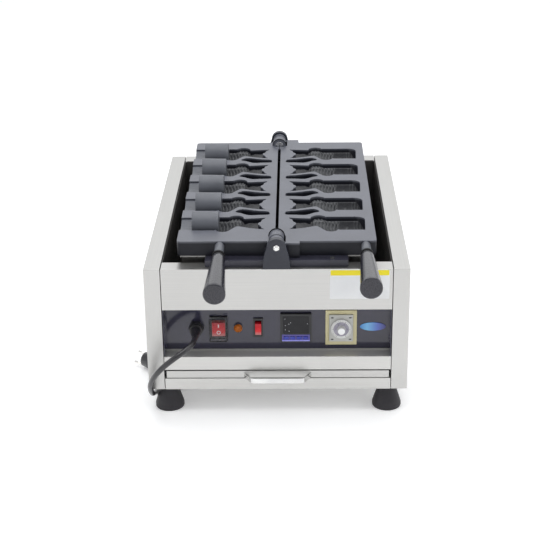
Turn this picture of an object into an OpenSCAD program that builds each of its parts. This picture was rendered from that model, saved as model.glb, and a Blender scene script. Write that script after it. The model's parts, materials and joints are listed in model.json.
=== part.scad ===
// Countertop electric iron for five open-mouth fish cakes.
// Two cast mould plates lie open like a book and each one turns over onto the other.
// Drawn from the front face of the body (y = 0) backwards, and from the table (z = 0) upwards.

/* [Moulds] */
// Number of fish moulds in each plate
mould_count = 5; // [4:1:6]
// Distance from one fish to the next
mould_pitch = 90.4; // [88:0.2:94]
// Plain rim in front of the first mould
front_margin = 32.5; // [26:0.5:40]
// Plain rim behind the last mould
rear_margin = 23.5; // [20:0.5:34]
// Distance of a plate's outer edge from the hinge line
plate_reach = 158; // [156:1:170]
// Thickness of a plate at its rim
plate_t = 24.4; // [22:0.2:27]
// Depth of the thick casting below the parting face
block_t = 34; // [33:0.5:38]
// Radius of the half-round head of a fish
head_r = 29; // [27:0.5:30]
// Distance of the mouth end of a fish from the outer edge of its plate
mouth_margin = 14; // [12:1:18]
// Radius of the core that leaves the mouth open
core_r = 21; // [18:0.5:23]
// Length of the round part of a core
core_l = 43; // [36:1:46]
// Depth of the fin pocket between two fishes
pocket_depth = 14; // [10:0.5:16]
// Depth of the fin and tail lobes
fin_depth = 8; // [6:0.5:9]

/* [Hinge] */
// Height of the hinge line above the rim of the body
axis_rise = 35.5; // [34:0.5:40]
// Gap between the two faces when the iron is shut
closing_gap = 0.5; // [0.4:0.1:1]
// Gap between a plate and the crossbar that it rests on
rest_gap = 0.3; // [0.2:0.05:0.4]
// Radius of a hinge knuckle
knuckle_r = 12; // [10:0.5:12.5]
// Radius of a hinge pin
pin_r = 5; // [4:0.5:6]
// Radial clearance of a hinge pin
pin_clearance = 0.06; // [0.03:0.01:0.09]
// Thickness of a hinge bracket
bracket_t = 10; // [8:0.5:12]
// Width of a hinge bracket at its foot
bracket_w = 43; // [40:1:48]

/* [Body] */
// Height of the body without its feet
body_h = 212; // [208:1:230]
// Room from the front face of the body to the plates
front_room = 31; // [30:0.5:34]
// Room from the plates to the rear face of the body
rear_room = 27; // [26:0.5:30]
// Room from the plates to the side flanges
side_room = 26; // [22:1:34]
// Thickness of the stainless sheet
sheet = 1.5; // [1.2:0.1:2]
// Width of the side wall flanges
flange_w = 26; // [22:1:32]
// Depth of the front and rear rim
rim_w = 30; // [28:0.5:30]
// Gap between neighbouring panels
seam = 1; // [0.6:0.1:1.6]
// Height of the fixed rail below the drawer
rail_h = 19.6; // [16:0.2:24]
// Height of the drawer opening
drawer_h = 15.6; // [14:0.2:20]
// Height of the panel between drawer and controls
apron_h = 23.8; // [20:0.2:28]
// Height of the window with the controls
window_h = 83; // [80:1:90]
// Depth of the window with the controls
window_d = 26; // [24:1:30]

/* [Handles] */
// Distance of the left handle from the hinge line
left_handle_x = 90; // [86:1:96]
// Distance of the right handle from the hinge line
right_handle_x = 141; // [136:1:146]
// Depth of the handles below the parting face
handle_drop = 8; // [7.8:0.1:9]
// Droop of the left handle in degrees
left_droop = 3; // [0:0.5:4]
// Length of a handle from plate to end disc
handle_l = 169; // [150:1:190]
// Radius of a handle rod where it shows
stub_r = 7.5; // [6:0.5:8]
// Radius of a grip at its ferrule
grip_r1 = 10.5; // [9.5:0.5:12]
// Radius of a grip at its end
grip_r2 = 17; // [14:0.5:18]
// Length of the bare rod between plate and ferrule
stub_l = 32; // [24:1:40]

/* [Drawer] */
// Length of the crumb tray
tray_l = 497; // [450:1:505]
// Thickness of the tray sheet
tray_t = 1; // [0.8:0.1:1.5]
// Reach of the bow handle in front of the body
pull_reach = 20; // [16:1:24]
// Width of the bow handle
pull_w = 112; // [90:1:130]
// Height of the bow handle strip
pull_h = 8.5; // [7:0.5:10]

/* [Controls] */
// Height of the row of controls above the underside of the body
control_h = 99.5; // [97:0.5:102]
// Distance of the cable gland from the left end of the panel
gland_from_left = 53; // [48:1:55]
// Distance of the power switch from the left end of the panel
power_from_left = 89; // [87:1:91]
// Distance of the signal lamp from the left end of the panel
lamp_from_left = 120.5; // [118:0.5:124]
// Distance of the alarm switch from the left end of the panel
alarm_from_left = 153; // [149:1:156]
// Distance of the temperature controller from the left end of the panel
controller_from_left = 214; // [208:1:218]
// Distance of the timer from the left end of the panel
timer_from_left = 287; // [281:1:292]
// Width of the temperature controller
controller_w = 50; // [48:1:52]
// Width of the timer frame
timer_w = 50.5; // [48:0.5:54]
// Height of the timer frame
timer_h = 61; // [58:1:64]

/* [Feet] */
// Height of the feet
foot_h = 42; // [38:1:50]
// Radius of a foot at the table
foot_r = 23.75; // [20:0.25:26]
// Radius of a foot at the body
foot_top_r = 12.5; // [11:0.5:15]
// Distance of a foot from the side of the body
foot_inset_x = 31; // [29:1:45]
// Distance of a foot from the front or rear of the body
foot_inset_y = 25; // [24:1:60]

/* [Mains lead] */
// Diameter of the cord
cord_d = 9; // [8:0.5:9.5]
// Radius of the outermost turn of the stored coil
coil_r = 62; // [60:1:64]
// Distance from one turn of the coil to the next
coil_step = 9.6; // [9.5:0.1:10]

/* [Hidden] */
$fn = 64;
eps = 0.01;
mirror_axis = [1, 0, 0];

// Overall sizes that follow from the values above
plate_l = (mould_count * mould_pitch) + front_margin + rear_margin;
mouth_reach = plate_reach - mouth_margin;
body_w = 2 * (plate_reach + side_room + flange_w);
body_l = front_room + plate_l + rear_room;
wall_x = body_w / 2;
flange_x = wall_x - flange_w;
base_z = foot_h;
rim_z = base_z + body_h;
axis_z = rim_z + axis_rise;
face_z = axis_z - closing_gap / 2;
bar_h = axis_rise - closing_gap / 2 - plate_t - rest_gap;
rail_z = base_z + rail_h;
apron_z = rail_z + drawer_h;
ledge_z = apron_z + apron_h;
lintel_z = ledge_z + window_h;
control_z = base_z + control_h;
panel_y = window_d;
gland_x = gland_from_left - flange_x;
power_x = power_from_left - flange_x;
lamp_x = lamp_from_left - flange_x;
alarm_x = alarm_from_left - flange_x;
controller_x = controller_from_left - flange_x;
timer_x = timer_from_left - flange_x;

// Fastener sizes
screw_r = 2;
screw_head_r = 4;
screw_head_h = 2.2;
hole_gap = 0.1;
pin_proud = 3;

// The origin lies below the middle of the box that holds the object without its cord
grip_edge = 1.5;
droop_reach = handle_l * cos(left_droop) + (grip_r2 - grip_edge) * sin(left_droop);
reach_front = max(handle_l, droop_reach) - front_room;
front_y = (reach_front - body_l - pin_proud) / 2;

module place() {
    translate([0, front_y, 0])
        children();
}

// A plate with rounded corners that keeps its arcs
module rounded_plate(w, l, h, r) {
    translate([r, 0, 0])
        cube([w - 2 * r, l, h]);
    translate([0, r, 0])
        cube([w, l - 2 * r, h]);
    for (x = [r, w - r], y = [r, l - r])
        translate([x, y, 0])
            cylinder(r = r, h = h);
}

module along_y(r, h) {
    rotate([-90, 0, 0])
        cylinder(r = r, h = h);
}

module domed_screw(length) {
    cylinder(r = screw_r, h = length);
    translate([0, 0, -screw_head_h])
        cylinder(r1 = screw_head_r * 0.7, r2 = screw_head_r, h = screw_head_h);
}

// Side walls: one sheet each, folded in at the top, front, rear and bottom
foot_flange_w = 14;

module side_wall() {
    difference() {
        translate([flange_x, 0, base_z])
            cube([flange_w, body_l, body_h]);
        translate([flange_x - eps, sheet, base_z + 2 * sheet])
            cube([flange_w - sheet + eps, body_l - 2 * sheet, body_h - 3 * sheet]);
        translate([flange_x - eps, sheet, base_z - eps])
            cube([flange_w - sheet + eps, body_l - 2 * sheet, sheet + eps]);
        translate([flange_x - eps, sheet, base_z + sheet - eps])
            cube([flange_w - foot_flange_w + eps, body_l - 2 * sheet, sheet + 2 * eps]);
    }
}

module left_side_wall() {
    place() color("gainsboro")
        mirror(mirror_axis) side_wall();
}

module right_side_wall() {
    place() color("gainsboro")
        side_wall();
}

panel_x = flange_x - seam;

module front_upper_panel() {
    height = rim_z - lintel_z;
    place() color("gainsboro") {
        translate([-panel_x, 0, lintel_z])
            cube([2 * panel_x, sheet, height]);
        translate([-panel_x, 0, rim_z - sheet])
            cube([2 * panel_x, rim_w, sheet]);
        translate([-panel_x, 0, lintel_z])
            cube([2 * panel_x, panel_y, sheet]);
    }
}

module front_lower_panel() {
    place() color("gainsboro") {
        translate([-panel_x, 0, apron_z])
            cube([2 * panel_x, sheet, apron_h]);
        translate([-panel_x, 0, ledge_z - sheet])
            cube([2 * panel_x, panel_y, sheet]);
        translate([-panel_x, 0, apron_z])
            cube([2 * panel_x, 12, sheet]);
    }
}

// Tray that carries the wiring above the drawer, with a turned-up rear edge
tray_floor_z = apron_z + sheet;
chute_setback = 101;
liner_front_y = front_room + chute_setback;

module component_tray() {
    place() color("silver") {
        translate([-panel_x, sheet, tray_floor_z])
            cube([2 * panel_x, liner_front_y - sheet, sheet]);
        translate([-panel_x, liner_front_y - sheet, tray_floor_z])
            cube([2 * panel_x, sheet, 18]);
    }
}

// Openings of the control panel, each a little larger than the housing that goes through
housing_gap = 0.5;
power_w = 29;
power_h = 40;
alarm_w = 15.5;
alarm_h = 33;
lamp_r = 6.5;
switch_inset = 1.5;
gland_thread_r = 8;
controller_inset = 3;
timer_face_w = timer_w - 12;
timer_face_h = timer_h - 14;

module panel_hole(x, w, h) {
    translate([x - w / 2 - housing_gap, panel_y - eps, control_z - h / 2 - housing_gap])
        cube([w + 2 * housing_gap, sheet + 2 * eps, h + 2 * housing_gap]);
}

module control_panel() {
    place() color("darkslategray") difference() {
        union() {
            translate([-panel_x, panel_y, ledge_z - sheet])
                cube([2 * panel_x, sheet, window_h + 2 * sheet]);
            for (side = [-1, 1])
                translate([side * (panel_x - sheet / 2) - sheet / 2, sheet, ledge_z])
                    cube([sheet, panel_y - sheet, window_h]);
        }
        panel_hole(power_x, power_w - 2 * switch_inset, power_h - 2 * switch_inset);
        panel_hole(alarm_x, alarm_w - 2 * switch_inset, alarm_h - 2 * switch_inset);
        panel_hole(controller_x, controller_w - 2 * controller_inset,
            controller_w - 2 * controller_inset);
        panel_hole(timer_x, timer_face_w, timer_face_h);
        translate([lamp_x, panel_y - eps, control_z])
            along_y(lamp_r - 1 + hole_gap, sheet + 2 * eps);
        translate([gland_x, panel_y - eps, control_z])
            along_y(gland_thread_r + hole_gap, sheet + 2 * eps);
    }
}

// Rear panel with two rows of ventilation slots
vent_count = 12;
vent_w = 5;
vent_h = 38;
vent_pitch = 22;

module rear_panel() {
    place() color("gainsboro") difference() {
        union() {
            translate([-panel_x, body_l - sheet, base_z + sheet])
                cube([2 * panel_x, sheet, body_h - sheet]);
            translate([-panel_x, body_l - rim_w, rim_z - sheet])
                cube([2 * panel_x, rim_w, sheet]);
            translate([-panel_x, body_l - 12, base_z + sheet])
                cube([2 * panel_x, 12, sheet]);
        }
        for (i = [0 : vent_count - 1], row = [0, 1])
            translate([(i - (vent_count - 1) / 2) * vent_pitch - vent_w / 2,
                body_l - sheet - eps, base_z + body_h * 0.3 + row * (vent_h + 14)])
                cube([vent_w, sheet + 2 * eps, vent_h]);
    }
}

// Base pan with the fixed rail below the drawer
foot_x = wall_x - foot_inset_x;
foot_y = [foot_inset_y, body_l - foot_inset_y];
bolt_r = 4;

module base_pan() {
    place() color("silver") difference() {
        union() {
            translate([-wall_x + sheet + 0.5, sheet + 0.5, base_z])
                cube([2 * (wall_x - sheet - 0.5), body_l - 2 * (sheet + 0.5), sheet]);
            translate([-panel_x, 0, base_z])
                cube([2 * panel_x, 10, sheet]);
            translate([-panel_x, 0, base_z])
                cube([2 * panel_x, sheet, rail_h]);
            translate([-panel_x, 0, rail_z - sheet])
                cube([2 * panel_x, 14, sheet]);
        }
        for (x = [-foot_x, foot_x], y = foot_y)
            translate([x, y, base_z - eps])
                cylinder(r = bolt_r + hole_gap, h = sheet + 2 * eps);
    }
}

// Chute below the plates: it catches drips and leads them to the drawer
liner_t = 1;
liner_x = flange_x - 1;
liner_top = rim_z - sheet;
liner_y0 = front_room;
liner_y1 = body_l - front_room;
liner_low = tray_floor_z + sheet;
slope_top = rim_z - 32;
slope_low = slope_top - 42;
lip_w = 10;

module liner_side_view(t) {
    polygon([[liner_y0 + t, liner_top + t], [liner_y0 + t, slope_top],
        [liner_front_y + t, slope_low], [liner_front_y + t, liner_low - t],
        [liner_y1 - t, liner_low - t], [liner_y1 - t, liner_top + t]]);
}

module liner_block(x, t) {
    translate([-x, 0, 0])
        rotate([90, 0, 90])
            linear_extrude(2 * x) liner_side_view(t);
}

module drip_liner() {
    place() color("saddlebrown") {
        difference() {
            liner_block(liner_x, 0);
            liner_block(liner_x - liner_t, liner_t);
        }
        difference() {
            translate([-liner_x, liner_front_y, liner_low])
                cube([2 * liner_x, liner_y1 - liner_front_y, liner_t]);
            translate([-liner_x + lip_w, liner_front_y + lip_w, liner_low - eps])
                cube([2 * (liner_x - lip_w), liner_y1 - liner_front_y - 2 * lip_w, liner_t + 2 * eps]);
        }
    }
}

// Crossbars: folded channels, open below, that carry the plates
bar_l = 226;
bar_t = 2.5;
bar_y0 = bracket_t;
bar_w = front_room + 5 - bar_y0;
bar_screw_x = 88;

module crossbar() {
    difference() {
        translate([-bar_l / 2, bar_y0, rim_z])
            cube([bar_l, bar_w, bar_h]);
        translate([-bar_l / 2 - eps, bar_y0 + bar_t, rim_z - eps])
            cube([bar_l + 2 * eps, bar_w - 2 * bar_t, bar_h - bar_t + eps]);
        for (x = [-bar_screw_x, bar_screw_x])
            translate([x, bar_y0 + 9, rim_z])
                cylinder(r = screw_r + hole_gap, h = bar_h + 1);
    }
}

// A rear piece is the front one turned to face the other way
module at_rear() {
    translate([0, body_l, 0])
        mirror([0, 1, 0])
            children();
}

module front_crossbar() {
    place() color("dimgray") crossbar();
}

module rear_crossbar() {
    place() color("dimgray") at_rear() crossbar();
}

// Hinge bracket: a cast cheek whose bowed sides run up to a round head
bracket_head_r = 15.3;
bow = bracket_w / 2 - bracket_head_r;
bow_r = (axis_rise * axis_rise + bow * bow) / (2 * bow);

module hinge_bracket() {
    translate([0, bracket_t, rim_z]) rotate([90, 0, 0]) difference() {
        union() {
            intersection() {
                translate([-bracket_w / 2, 0, 0])
                    cube([bracket_w, axis_rise, bracket_t]);
                for (side = [-1, 1])
                    translate([side * (bow_r - bracket_w / 2), 0, -1])
                        cylinder(r = bow_r, h = bracket_t + 2, $fn = 160);
            }
            translate([0, axis_rise, 0])
                cylinder(r = bracket_head_r, h = bracket_t);
        }
        translate([0, axis_rise, -eps])
            cylinder(r = pin_r + pin_clearance, h = bracket_t + 2 * eps);
    }
}

module front_hinge_bracket() {
    place() color("dimgray") hinge_bracket();
}

module rear_hinge_bracket() {
    place() color("dimgray") at_rear() hinge_bracket();
}

// Knuckles along the hinge line: the right plate's ring is next to the bracket,
// and the left plate's ring follows it
knuckle_gap = 0.3;
front_lug_y = front_room - 9;
outer_ring = [bracket_t + knuckle_gap, front_room - 3];
inner_ring = [outer_ring[1] + knuckle_gap, front_room + 23];
rear_inner_ring = [body_l - rear_room - 20, body_l - rear_room + 6];
rear_outer_ring = [rear_inner_ring[1] + knuckle_gap, body_l - bracket_t - knuckle_gap];
ring_end = inner_ring[1];
ring_start = rear_inner_ring[0];

// Two hinge pins with domed heads, each held by a ring behind the last knuckle
clip_t = 1.6;
clip_r = pin_r + 2.6;
clip_gap = 0.3;
clip_room = clip_gap + clip_t + 2.6;
pin_end = ring_end + clip_room - 1.2;
rear_pin_end = body_l - ring_start + clip_room - 1.2;

module pin_solid(length) {
    translate([0, -pin_proud * 0.4, axis_z])
        along_y(pin_r, length + pin_proud * 0.4);
    translate([0, -pin_proud, axis_z])
        rotate([-90, 0, 0])
            cylinder(r1 = pin_r * 0.6, r2 = pin_r, h = pin_proud * 0.6);
}

module hinge_pins() {
    place() color("whitesmoke") {
        pin_solid(pin_end);
        at_rear() pin_solid(rear_pin_end);
    }
}

module pin_ring(y) {
    translate([0, y, axis_z]) rotate([-90, 0, 0]) difference() {
        cylinder(r = clip_r, h = clip_t);
        translate([0, 0, -eps])
            cylinder(r = pin_r + pin_clearance, h = clip_t + 2 * eps);
    }
}

module pin_rings() {
    place() color("whitesmoke") {
        pin_ring(ring_end + clip_gap);
        pin_ring(ring_start - clip_gap - clip_t);
    }
}

// Screws of the frame: crossbars to rim, brackets to crossbars, and the rear panel
rear_screw_z = [base_z + 26, rim_z - 26];

module bar_screws() {
    for (x = [-bar_screw_x, bar_screw_x])
        translate([x, bar_y0 + 9, rim_z + bar_h])
            rotate([180, 0, 0]) domed_screw(bar_h);
}

module frame_screws() {
    place() color("silver") {
        bar_screws();
        at_rear() bar_screws();
        for (x = [-1, 1], z = rear_screw_z)
            translate([x * (wall_x - flange_w / 2), body_l + 1.6, z])
                rotate([90, 0, 0]) cylinder(r = screw_head_r, h = 1.6);
    }
}

// Feet: rubber cones, each with a bolt in a sunk hole
foot_rim_h = 7;
foot_sink = 8;
bolt_head_h = 5;

module foot() {
    rotate_extrude()
        polygon([[bolt_r + hole_gap, foot_sink], [8, foot_sink], [8, 0], [foot_r - 1.2, 0],
            [foot_r, 1.2], [foot_r, foot_rim_h], [foot_top_r + 0.8, foot_h - 2],
            [foot_top_r, foot_h], [bolt_r + hole_gap, foot_h]]);
}

module feet() {
    place() color("black")
        for (x = [-foot_x, foot_x], y = foot_y)
            translate([x, y, 0]) foot();
}

module foot_bolts() {
    nut_z = base_z + sheet;
    place() color("silver")
        for (x = [-foot_x, foot_x], y = foot_y)
            translate([x, y, 0]) {
                translate([0, 0, foot_sink - bolt_head_h])
                    cylinder(r = 7, h = bolt_head_h, $fn = 6);
                translate([0, 0, foot_sink - 1])
                    cylinder(r = bolt_r, h = nut_z + 9 - foot_sink + 1);
                translate([0, 0, nut_z])
                    cylinder(r = 7.2, h = 6.5, $fn = 6);
            }
}

// Outline of one fish, tail towards the hinge line, back towards the rear.
// Its points are distances from the hinge line and from the middle of the head.
tail_x = 20;
shoulder_x = 54;
lobe_r = 10;

module fish_tail_end() {
    polygon([[0, 40], [18.3, 29], [21, 21], [26.3, 9.5], [27.6, -10.5], [tail_x, -26.5],
        [0, -40]]);
    for (v = [12.5, -15.5])
        translate([tail_x - 4.5, v])
            circle(r = lobe_r);
    translate([tail_x + 1, -1.5])
        circle(r = lobe_r);
}

module fish_outline() {
    corner = 14;
    difference() {
        union() {
            polygon([[12, 28], [26, 24.5], [44, 22.5], [shoulder_x - 1, 21.5],
                [shoulder_x + 14, head_r], [mouth_reach - corner, head_r],
                [mouth_reach - 5, head_r - corner], [mouth_reach, head_r - corner],
                [mouth_reach - 1.5, -head_r - 1], [102, -head_r - 1], [98.7, -28.2], [88, -30],
                [76.1, -29.4], [70.6, -20.2], [66, -13.4], [63, -12.6], [59.4, -13.8],
                [44.6, -20.5], [30.9, -24.3], [12, -27]]);
            translate([mouth_reach - corner, head_r - corner])
                circle(r = corner);
            translate([shoulder_x + 14, head_r - 5.5])
                circle(r = 13);
            translate([87.5, 3.2 - head_r])
                circle(r = 11.5);
        }
        fish_tail_end();
    }
}

// Pocket that lightens the web between one fish and the next
pocket_points = [[14.5, 40.6], [30, 39.2], [40, 37.8], [47.3, 38.2], [54.3, 42.4], [61.4, 48.4],
    [69.5, 52.4], [69.5, 57.5], [66.3, 62.1], [59.3, 66.3], [48.7, 64], [31, 58.3],
    [16, 55.6], [12.9, 48]];

// Smooth closed curve through a list of points, with n steps from one point to the next
function curve_point(p, i, t) =
    let (c = len(p), a = p[(i + c - 1) % c], b = p[i], d = p[(i + 1) % c], e = p[(i + 2) % c])
    b + 0.5 * t * (d - a + t * (2 * a - 5 * b + 4 * d - e + t * (3 * (b - d) + e - a)));
function closed_curve(p, n) =
    [for (i = [0 : len(p) - 1], k = [0 : n - 1]) curve_point(p, i, k / n)];

module fin_pocket_outline() {
    polygon(closed_curve(pocket_points, 3));
}

// One cavity: a half-round head, a body that rises towards the tail, and flat fins
core_start = mouth_reach - 6 - core_l;
body_rise = 18;
body_run = core_start - tail_x;
body_tilt = atan(body_rise / body_run);

module fish_cavity(head_end) {
    intersection() {
        union() {
            translate([core_start, 0, 0]) rotate([0, 90, 0])
                cylinder(r = head_r, h = mouth_reach - core_start + 1);
            translate([core_start, 0, 0]) rotate([0, -90 + body_tilt, 0])
                translate([0, 0, -8]) cylinder(r = head_r, h = body_run + 30);
            translate([0, -2 * head_r, -fin_depth])
                cube([mouth_reach + 1, 4 * head_r, fin_depth + 1]);
        }
        translate([0, 0, -2 * head_r])
            linear_extrude(2 * head_r + 1) fish_outline();
        translate([0, -2 * head_r, -2 * head_r])
            cube([head_end, 4 * head_r, 2 * head_r + 1]);
    }
    translate([mouth_reach - 18, 0, 0]) rotate([0, 90, 0])
        cylinder(r = head_r + 0.8, h = 1.6);
}

function mould_y(i) = front_room + front_margin + mould_pitch * (i + 0.5);

// Casting without its cavities, right-hand side, parting face at z = 0
plate_gap = 2.5;
strip_l = 16;
plate_corner = 6;
block_in = 16;
block_out = plate_reach - 8;
cover_gap = 0.6;
boss_r = 5.4;
cover_rim = 5;
cover_t = 1.2;
pan_margin = 13;
block_margin = pan_margin + cover_t + 1;
cover_screw_x = [30, plate_reach / 2, plate_reach - 30];
cover_y0 = bar_y0 + bar_w + cover_gap;
cover_y1 = body_l - cover_y0;
cover_screw_inset = 7.1;
cover_screw_y = [cover_y0 + cover_screw_inset, cover_y1 - cover_screw_inset];

module plate_casting() {
    translate([plate_gap, front_room, -plate_t])
        rounded_plate(plate_reach - plate_gap, plate_l, plate_t, plate_corner);
    translate([block_in, cover_y0 + block_margin, -block_t])
        rounded_plate(block_out - block_in, cover_y1 - cover_y0 - 2 * block_margin, block_t - 1,
            plate_corner);
    translate([closing_gap, ring_end + clip_room, -plate_t])
        cube([plate_gap, strip_l, plate_t]);
    translate([closing_gap, ring_start - clip_room - strip_l, -plate_t])
        cube([plate_gap, strip_l, plate_t]);
    for (x = cover_screw_x, y = cover_screw_y)
        translate([x, y, cover_t - plate_t - cover_rim])
            cylinder(r = boss_r, h = cover_rim);
}

module knuckle(span) {
    translate([0, span[0], closing_gap / 2])
        along_y(knuckle_r, span[1] - span[0]);
}

// Bore for one pin, with room for the ring at its inner end
module pin_bore(length, last_knuckle) {
    translate([0, -1, closing_gap / 2])
        along_y(pin_r + pin_clearance, length + 2);
    translate([0, last_knuckle, closing_gap / 2])
        along_y(clip_r + 0.8, clip_room);
}

module pin_bores() {
    pin_bore(pin_end, ring_end);
    at_rear() pin_bore(rear_pin_end, body_l - ring_start);
}

// Room in a plate for the other plate's knuckle
module knuckle_notch(span, reach) {
    translate([-1, span[0], -plate_t - 1])
        cube([reach + 1, span[1] - span[0], plate_t + 2]);
}

// Screw holes and cavities that both plates share
module plate_cuts(head_end) {
    for (i = [0 : mould_count - 1])
        translate([0, mould_y(i), 0])
            fish_cavity(head_end);
    for (i = [0 : mould_count - 2])
        translate([0, mould_y(i), -pocket_depth])
            linear_extrude(pocket_depth + 1) fin_pocket_outline();
    for (x = cover_screw_x, y = cover_screw_y)
        translate([x, y, -plate_t - cover_rim])
            cylinder(r = screw_r + hole_gap, h = 12);
}

module handle_boss(x, droop) {
    translate([x, front_room, -handle_drop]) rotate([90 + droop, 0, 0])
        translate([0, 0, -6]) cylinder(r = stub_r, h = 6 + boss_out);
}

boss_out = 2.5;
notch_x = 14.5;
lug_x = 36.5;

module right_plate_shape() {
    difference() {
        union() {
            difference() {
                plate_casting();
                knuckle_notch([front_room - 1, ring_end + 1], notch_x);
                knuckle_notch([ring_start - 1, body_l - rear_room + 1], notch_x);
            }
            translate([notch_x, front_lug_y, -plate_t])
                cube([lug_x - notch_x, front_room + 1 - front_lug_y, plate_t]);
            translate([0, front_lug_y, -knuckle_r])
                cube([notch_x + 1, outer_ring[1] - front_lug_y, knuckle_r]);
            translate([notch_x, body_l - rear_room - 1, -plate_t])
                cube([lug_x - notch_x, rear_outer_ring[1] - body_l + rear_room + 1, plate_t]);
            translate([0, rear_outer_ring[0], -knuckle_r])
                cube([notch_x + 1, rear_outer_ring[1] - rear_outer_ring[0], knuckle_r]);
            knuckle(outer_ring);
            knuckle(rear_outer_ring);
            handle_boss(right_handle_x, 0);
        }
        plate_cuts(mouth_reach);
        pin_bores();
    }
}

// The left plate has an open seat for each core where the right one is closed
seat_in = mouth_reach - 6;
seat_w = 2 * head_r - 2;
seat_depth = 12;
tang_t = 9;
tang_gap = 0.1;
core_screw_x = seat_in + 6;
core_screw_v = [10 - seat_w / 2, seat_w / 2 - 10];
core_screw_grip = 4.5;
channel_r = 45;
channel_depth = 8;

module left_plate_shape() {
    difference() {
        union() {
            plate_casting();
            knuckle(inner_ring);
            knuckle(rear_inner_ring);
            for (span = [inner_ring, rear_inner_ring])
                translate([0, span[0], -knuckle_r])
                    cube([notch_x, span[1] - span[0], knuckle_r]);
            handle_boss(left_handle_x, left_droop);
        }
        plate_cuts(seat_in);
        for (i = [0 : mould_count - 1])
            translate([seat_in, mould_y(i) - seat_w / 2, -seat_depth])
                cube([plate_reach - seat_in + 1, seat_w, seat_depth + 1]);
        for (i = [0 : mould_count - 1], v = core_screw_v)
            translate([core_screw_x, mould_y(i) + v, -block_t - 1])
                cylinder(r = screw_r + hole_gap, h = block_t - seat_depth + 2);
        pin_bores();
    }
}

module left_side() {
    place() translate([0, 0, face_z]) mirror(mirror_axis) children();
}

module right_side() {
    place() translate([0, 0, face_z]) children();
}

module left_mould_plate() {
    left_side() color("slategray") left_plate_shape();
}

module right_mould_plate() {
    right_side() color("slategray") right_plate_shape();
}

// Cores: a round plug with a hollowed tang that is screwed into its seat from below
module core() {
    difference() {
        union() {
            rotate([0, 90, 0])
                cylinder(r1 = core_r - 1, r2 = core_r, h = core_l);
            translate([core_l - 4, -seat_w / 2 + tang_gap, -seat_depth])
                cube([4, 0.7 * seat_w, tang_t]);
            translate([core_l, -seat_w / 2 + tang_gap, -seat_depth])
                cube([plate_reach - seat_in - 0.5, seat_w - 2 * tang_gap, tang_t]);
        }
        translate([core_l - 4 - eps, -seat_w, -2 * head_r])
            cube([4, 2 * seat_w, 2 * head_r - sqrt(core_r * core_r - 64)]);
        core_corner_cuts();
        translate([core_l, 0, channel_r - channel_depth]) rotate([0, 90, 0])
            cylinder(r = channel_r, h = plate_reach - seat_in + 1, $fn = 128);
        for (v = core_screw_v)
            translate([core_screw_x - core_start, v, -seat_depth - eps])
                cylinder(r = screw_r + hole_gap, h = core_screw_grip + 0.5);
    }
}

// Trims the root of the tang so that it stays inside the round plug
module core_corner_cuts() {
    translate([core_l - 5, 0, 0]) rotate([0, 90, 0]) difference() {
        cylinder(r = 2 * head_r, h = 5);
        translate([0, 0, -1])
            cylinder(r = core_r, h = 7);
    }
}

module mouth_cores() {
    left_side() color("lightslategray")
        for (i = [0 : mould_count - 1])
            translate([core_start, mould_y(i), 0]) core();
}

module cover_screws() {
    for (x = cover_screw_x, y = cover_screw_y)
        translate([x, y, -plate_t - cover_rim])
            domed_screw(9);
}

module left_plate_screws() {
    left_side() color("silver") {
        cover_screws();
        for (i = [0 : mould_count - 1], v = core_screw_v)
            translate([core_screw_x, mould_y(i) + v, -block_t])
                domed_screw(block_t - seat_depth + core_screw_grip);
    }
}

module right_plate_screws() {
    right_side() color("silver") cover_screws();
}

// Tubular heater: four runs and three bends below the thick casting
heater_r = 4;
heater_pitch = 32;
heater_x0 = plate_reach / 2 - 1.5 * heater_pitch;
heater_z = -block_t - 0.3 - heater_r;
heater_y0 = front_room + 48;
heater_y1 = front_room + plate_l - 48;

module heater_bend(x, y, turn) {
    translate([x, y, heater_z])
        rotate([0, 0, turn]) rotate_extrude(angle = 180)
            translate([heater_pitch / 2, 0]) circle(r = heater_r, $fn = 32);
}

module heater() {
    for (i = [0 : 3])
        translate([heater_x0 + i * heater_pitch, heater_y0, heater_z])
            along_y(heater_r, heater_y1 - heater_y0 + (i == 0 || i == 3 ? 22 : 0));
    heater_bend(heater_x0 + heater_pitch / 2, heater_y0, 180);
    heater_bend(heater_x0 + 1.5 * heater_pitch, heater_y1, 0);
    heater_bend(heater_x0 + 2.5 * heater_pitch, heater_y0, 180);
}

module left_heater() {
    left_side() color("darkolivegreen") heater();
}

module right_heater() {
    right_side() color("darkolivegreen") heater();
}

// Stainless cover below each plate: a shallow rim and a deeper pan round the heater
pan_in = 12;
pan_out = plate_reach - 6;
rim_in = 8;
rim_out = plate_reach - 4;
pan_depth = 56;

module cover_solid(t, top) {
    rim_low = -plate_t - cover_rim;
    pan_y = cover_y0 + pan_margin;
    translate([rim_in + t, cover_y0 + t, rim_low + t])
        cube([rim_out - rim_in - 2 * t, cover_y1 - cover_y0 - 2 * t, top - rim_low - t]);
    translate([pan_in + t, pan_y + t, t - pan_depth])
        cube([pan_out - pan_in - 2 * t, cover_y1 - pan_margin - pan_y - 2 * t,
            top + pan_depth - t]);
}

module heater_cover() {
    difference() {
        cover_solid(0, -plate_t);
        cover_solid(cover_t, 1 - plate_t);
        for (x = cover_screw_x, y = cover_screw_y)
            translate([x, y, -pan_depth])
                cylinder(r = screw_r + hole_gap, h = pan_depth);
    }
}

module left_heater_cover() {
    left_side() color("silver") heater_cover();
}

module right_heater_cover() {
    right_side() color("silver") heater_cover();
}

// Handles: a rod screwed into the plate, a ferrule and a tapered grip
rod_core_r = 4.5;
ferrule_l = 14;
ring_l = 5;
ring_r = grip_r1 - 0.5;
grip_wall = 6;
ferrule_y = boss_out + stub_l;

module handle_axis(x, droop) {
    translate([x, front_room, -handle_drop])
        rotate([90 + droop, 0, 0]) children();
}

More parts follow.
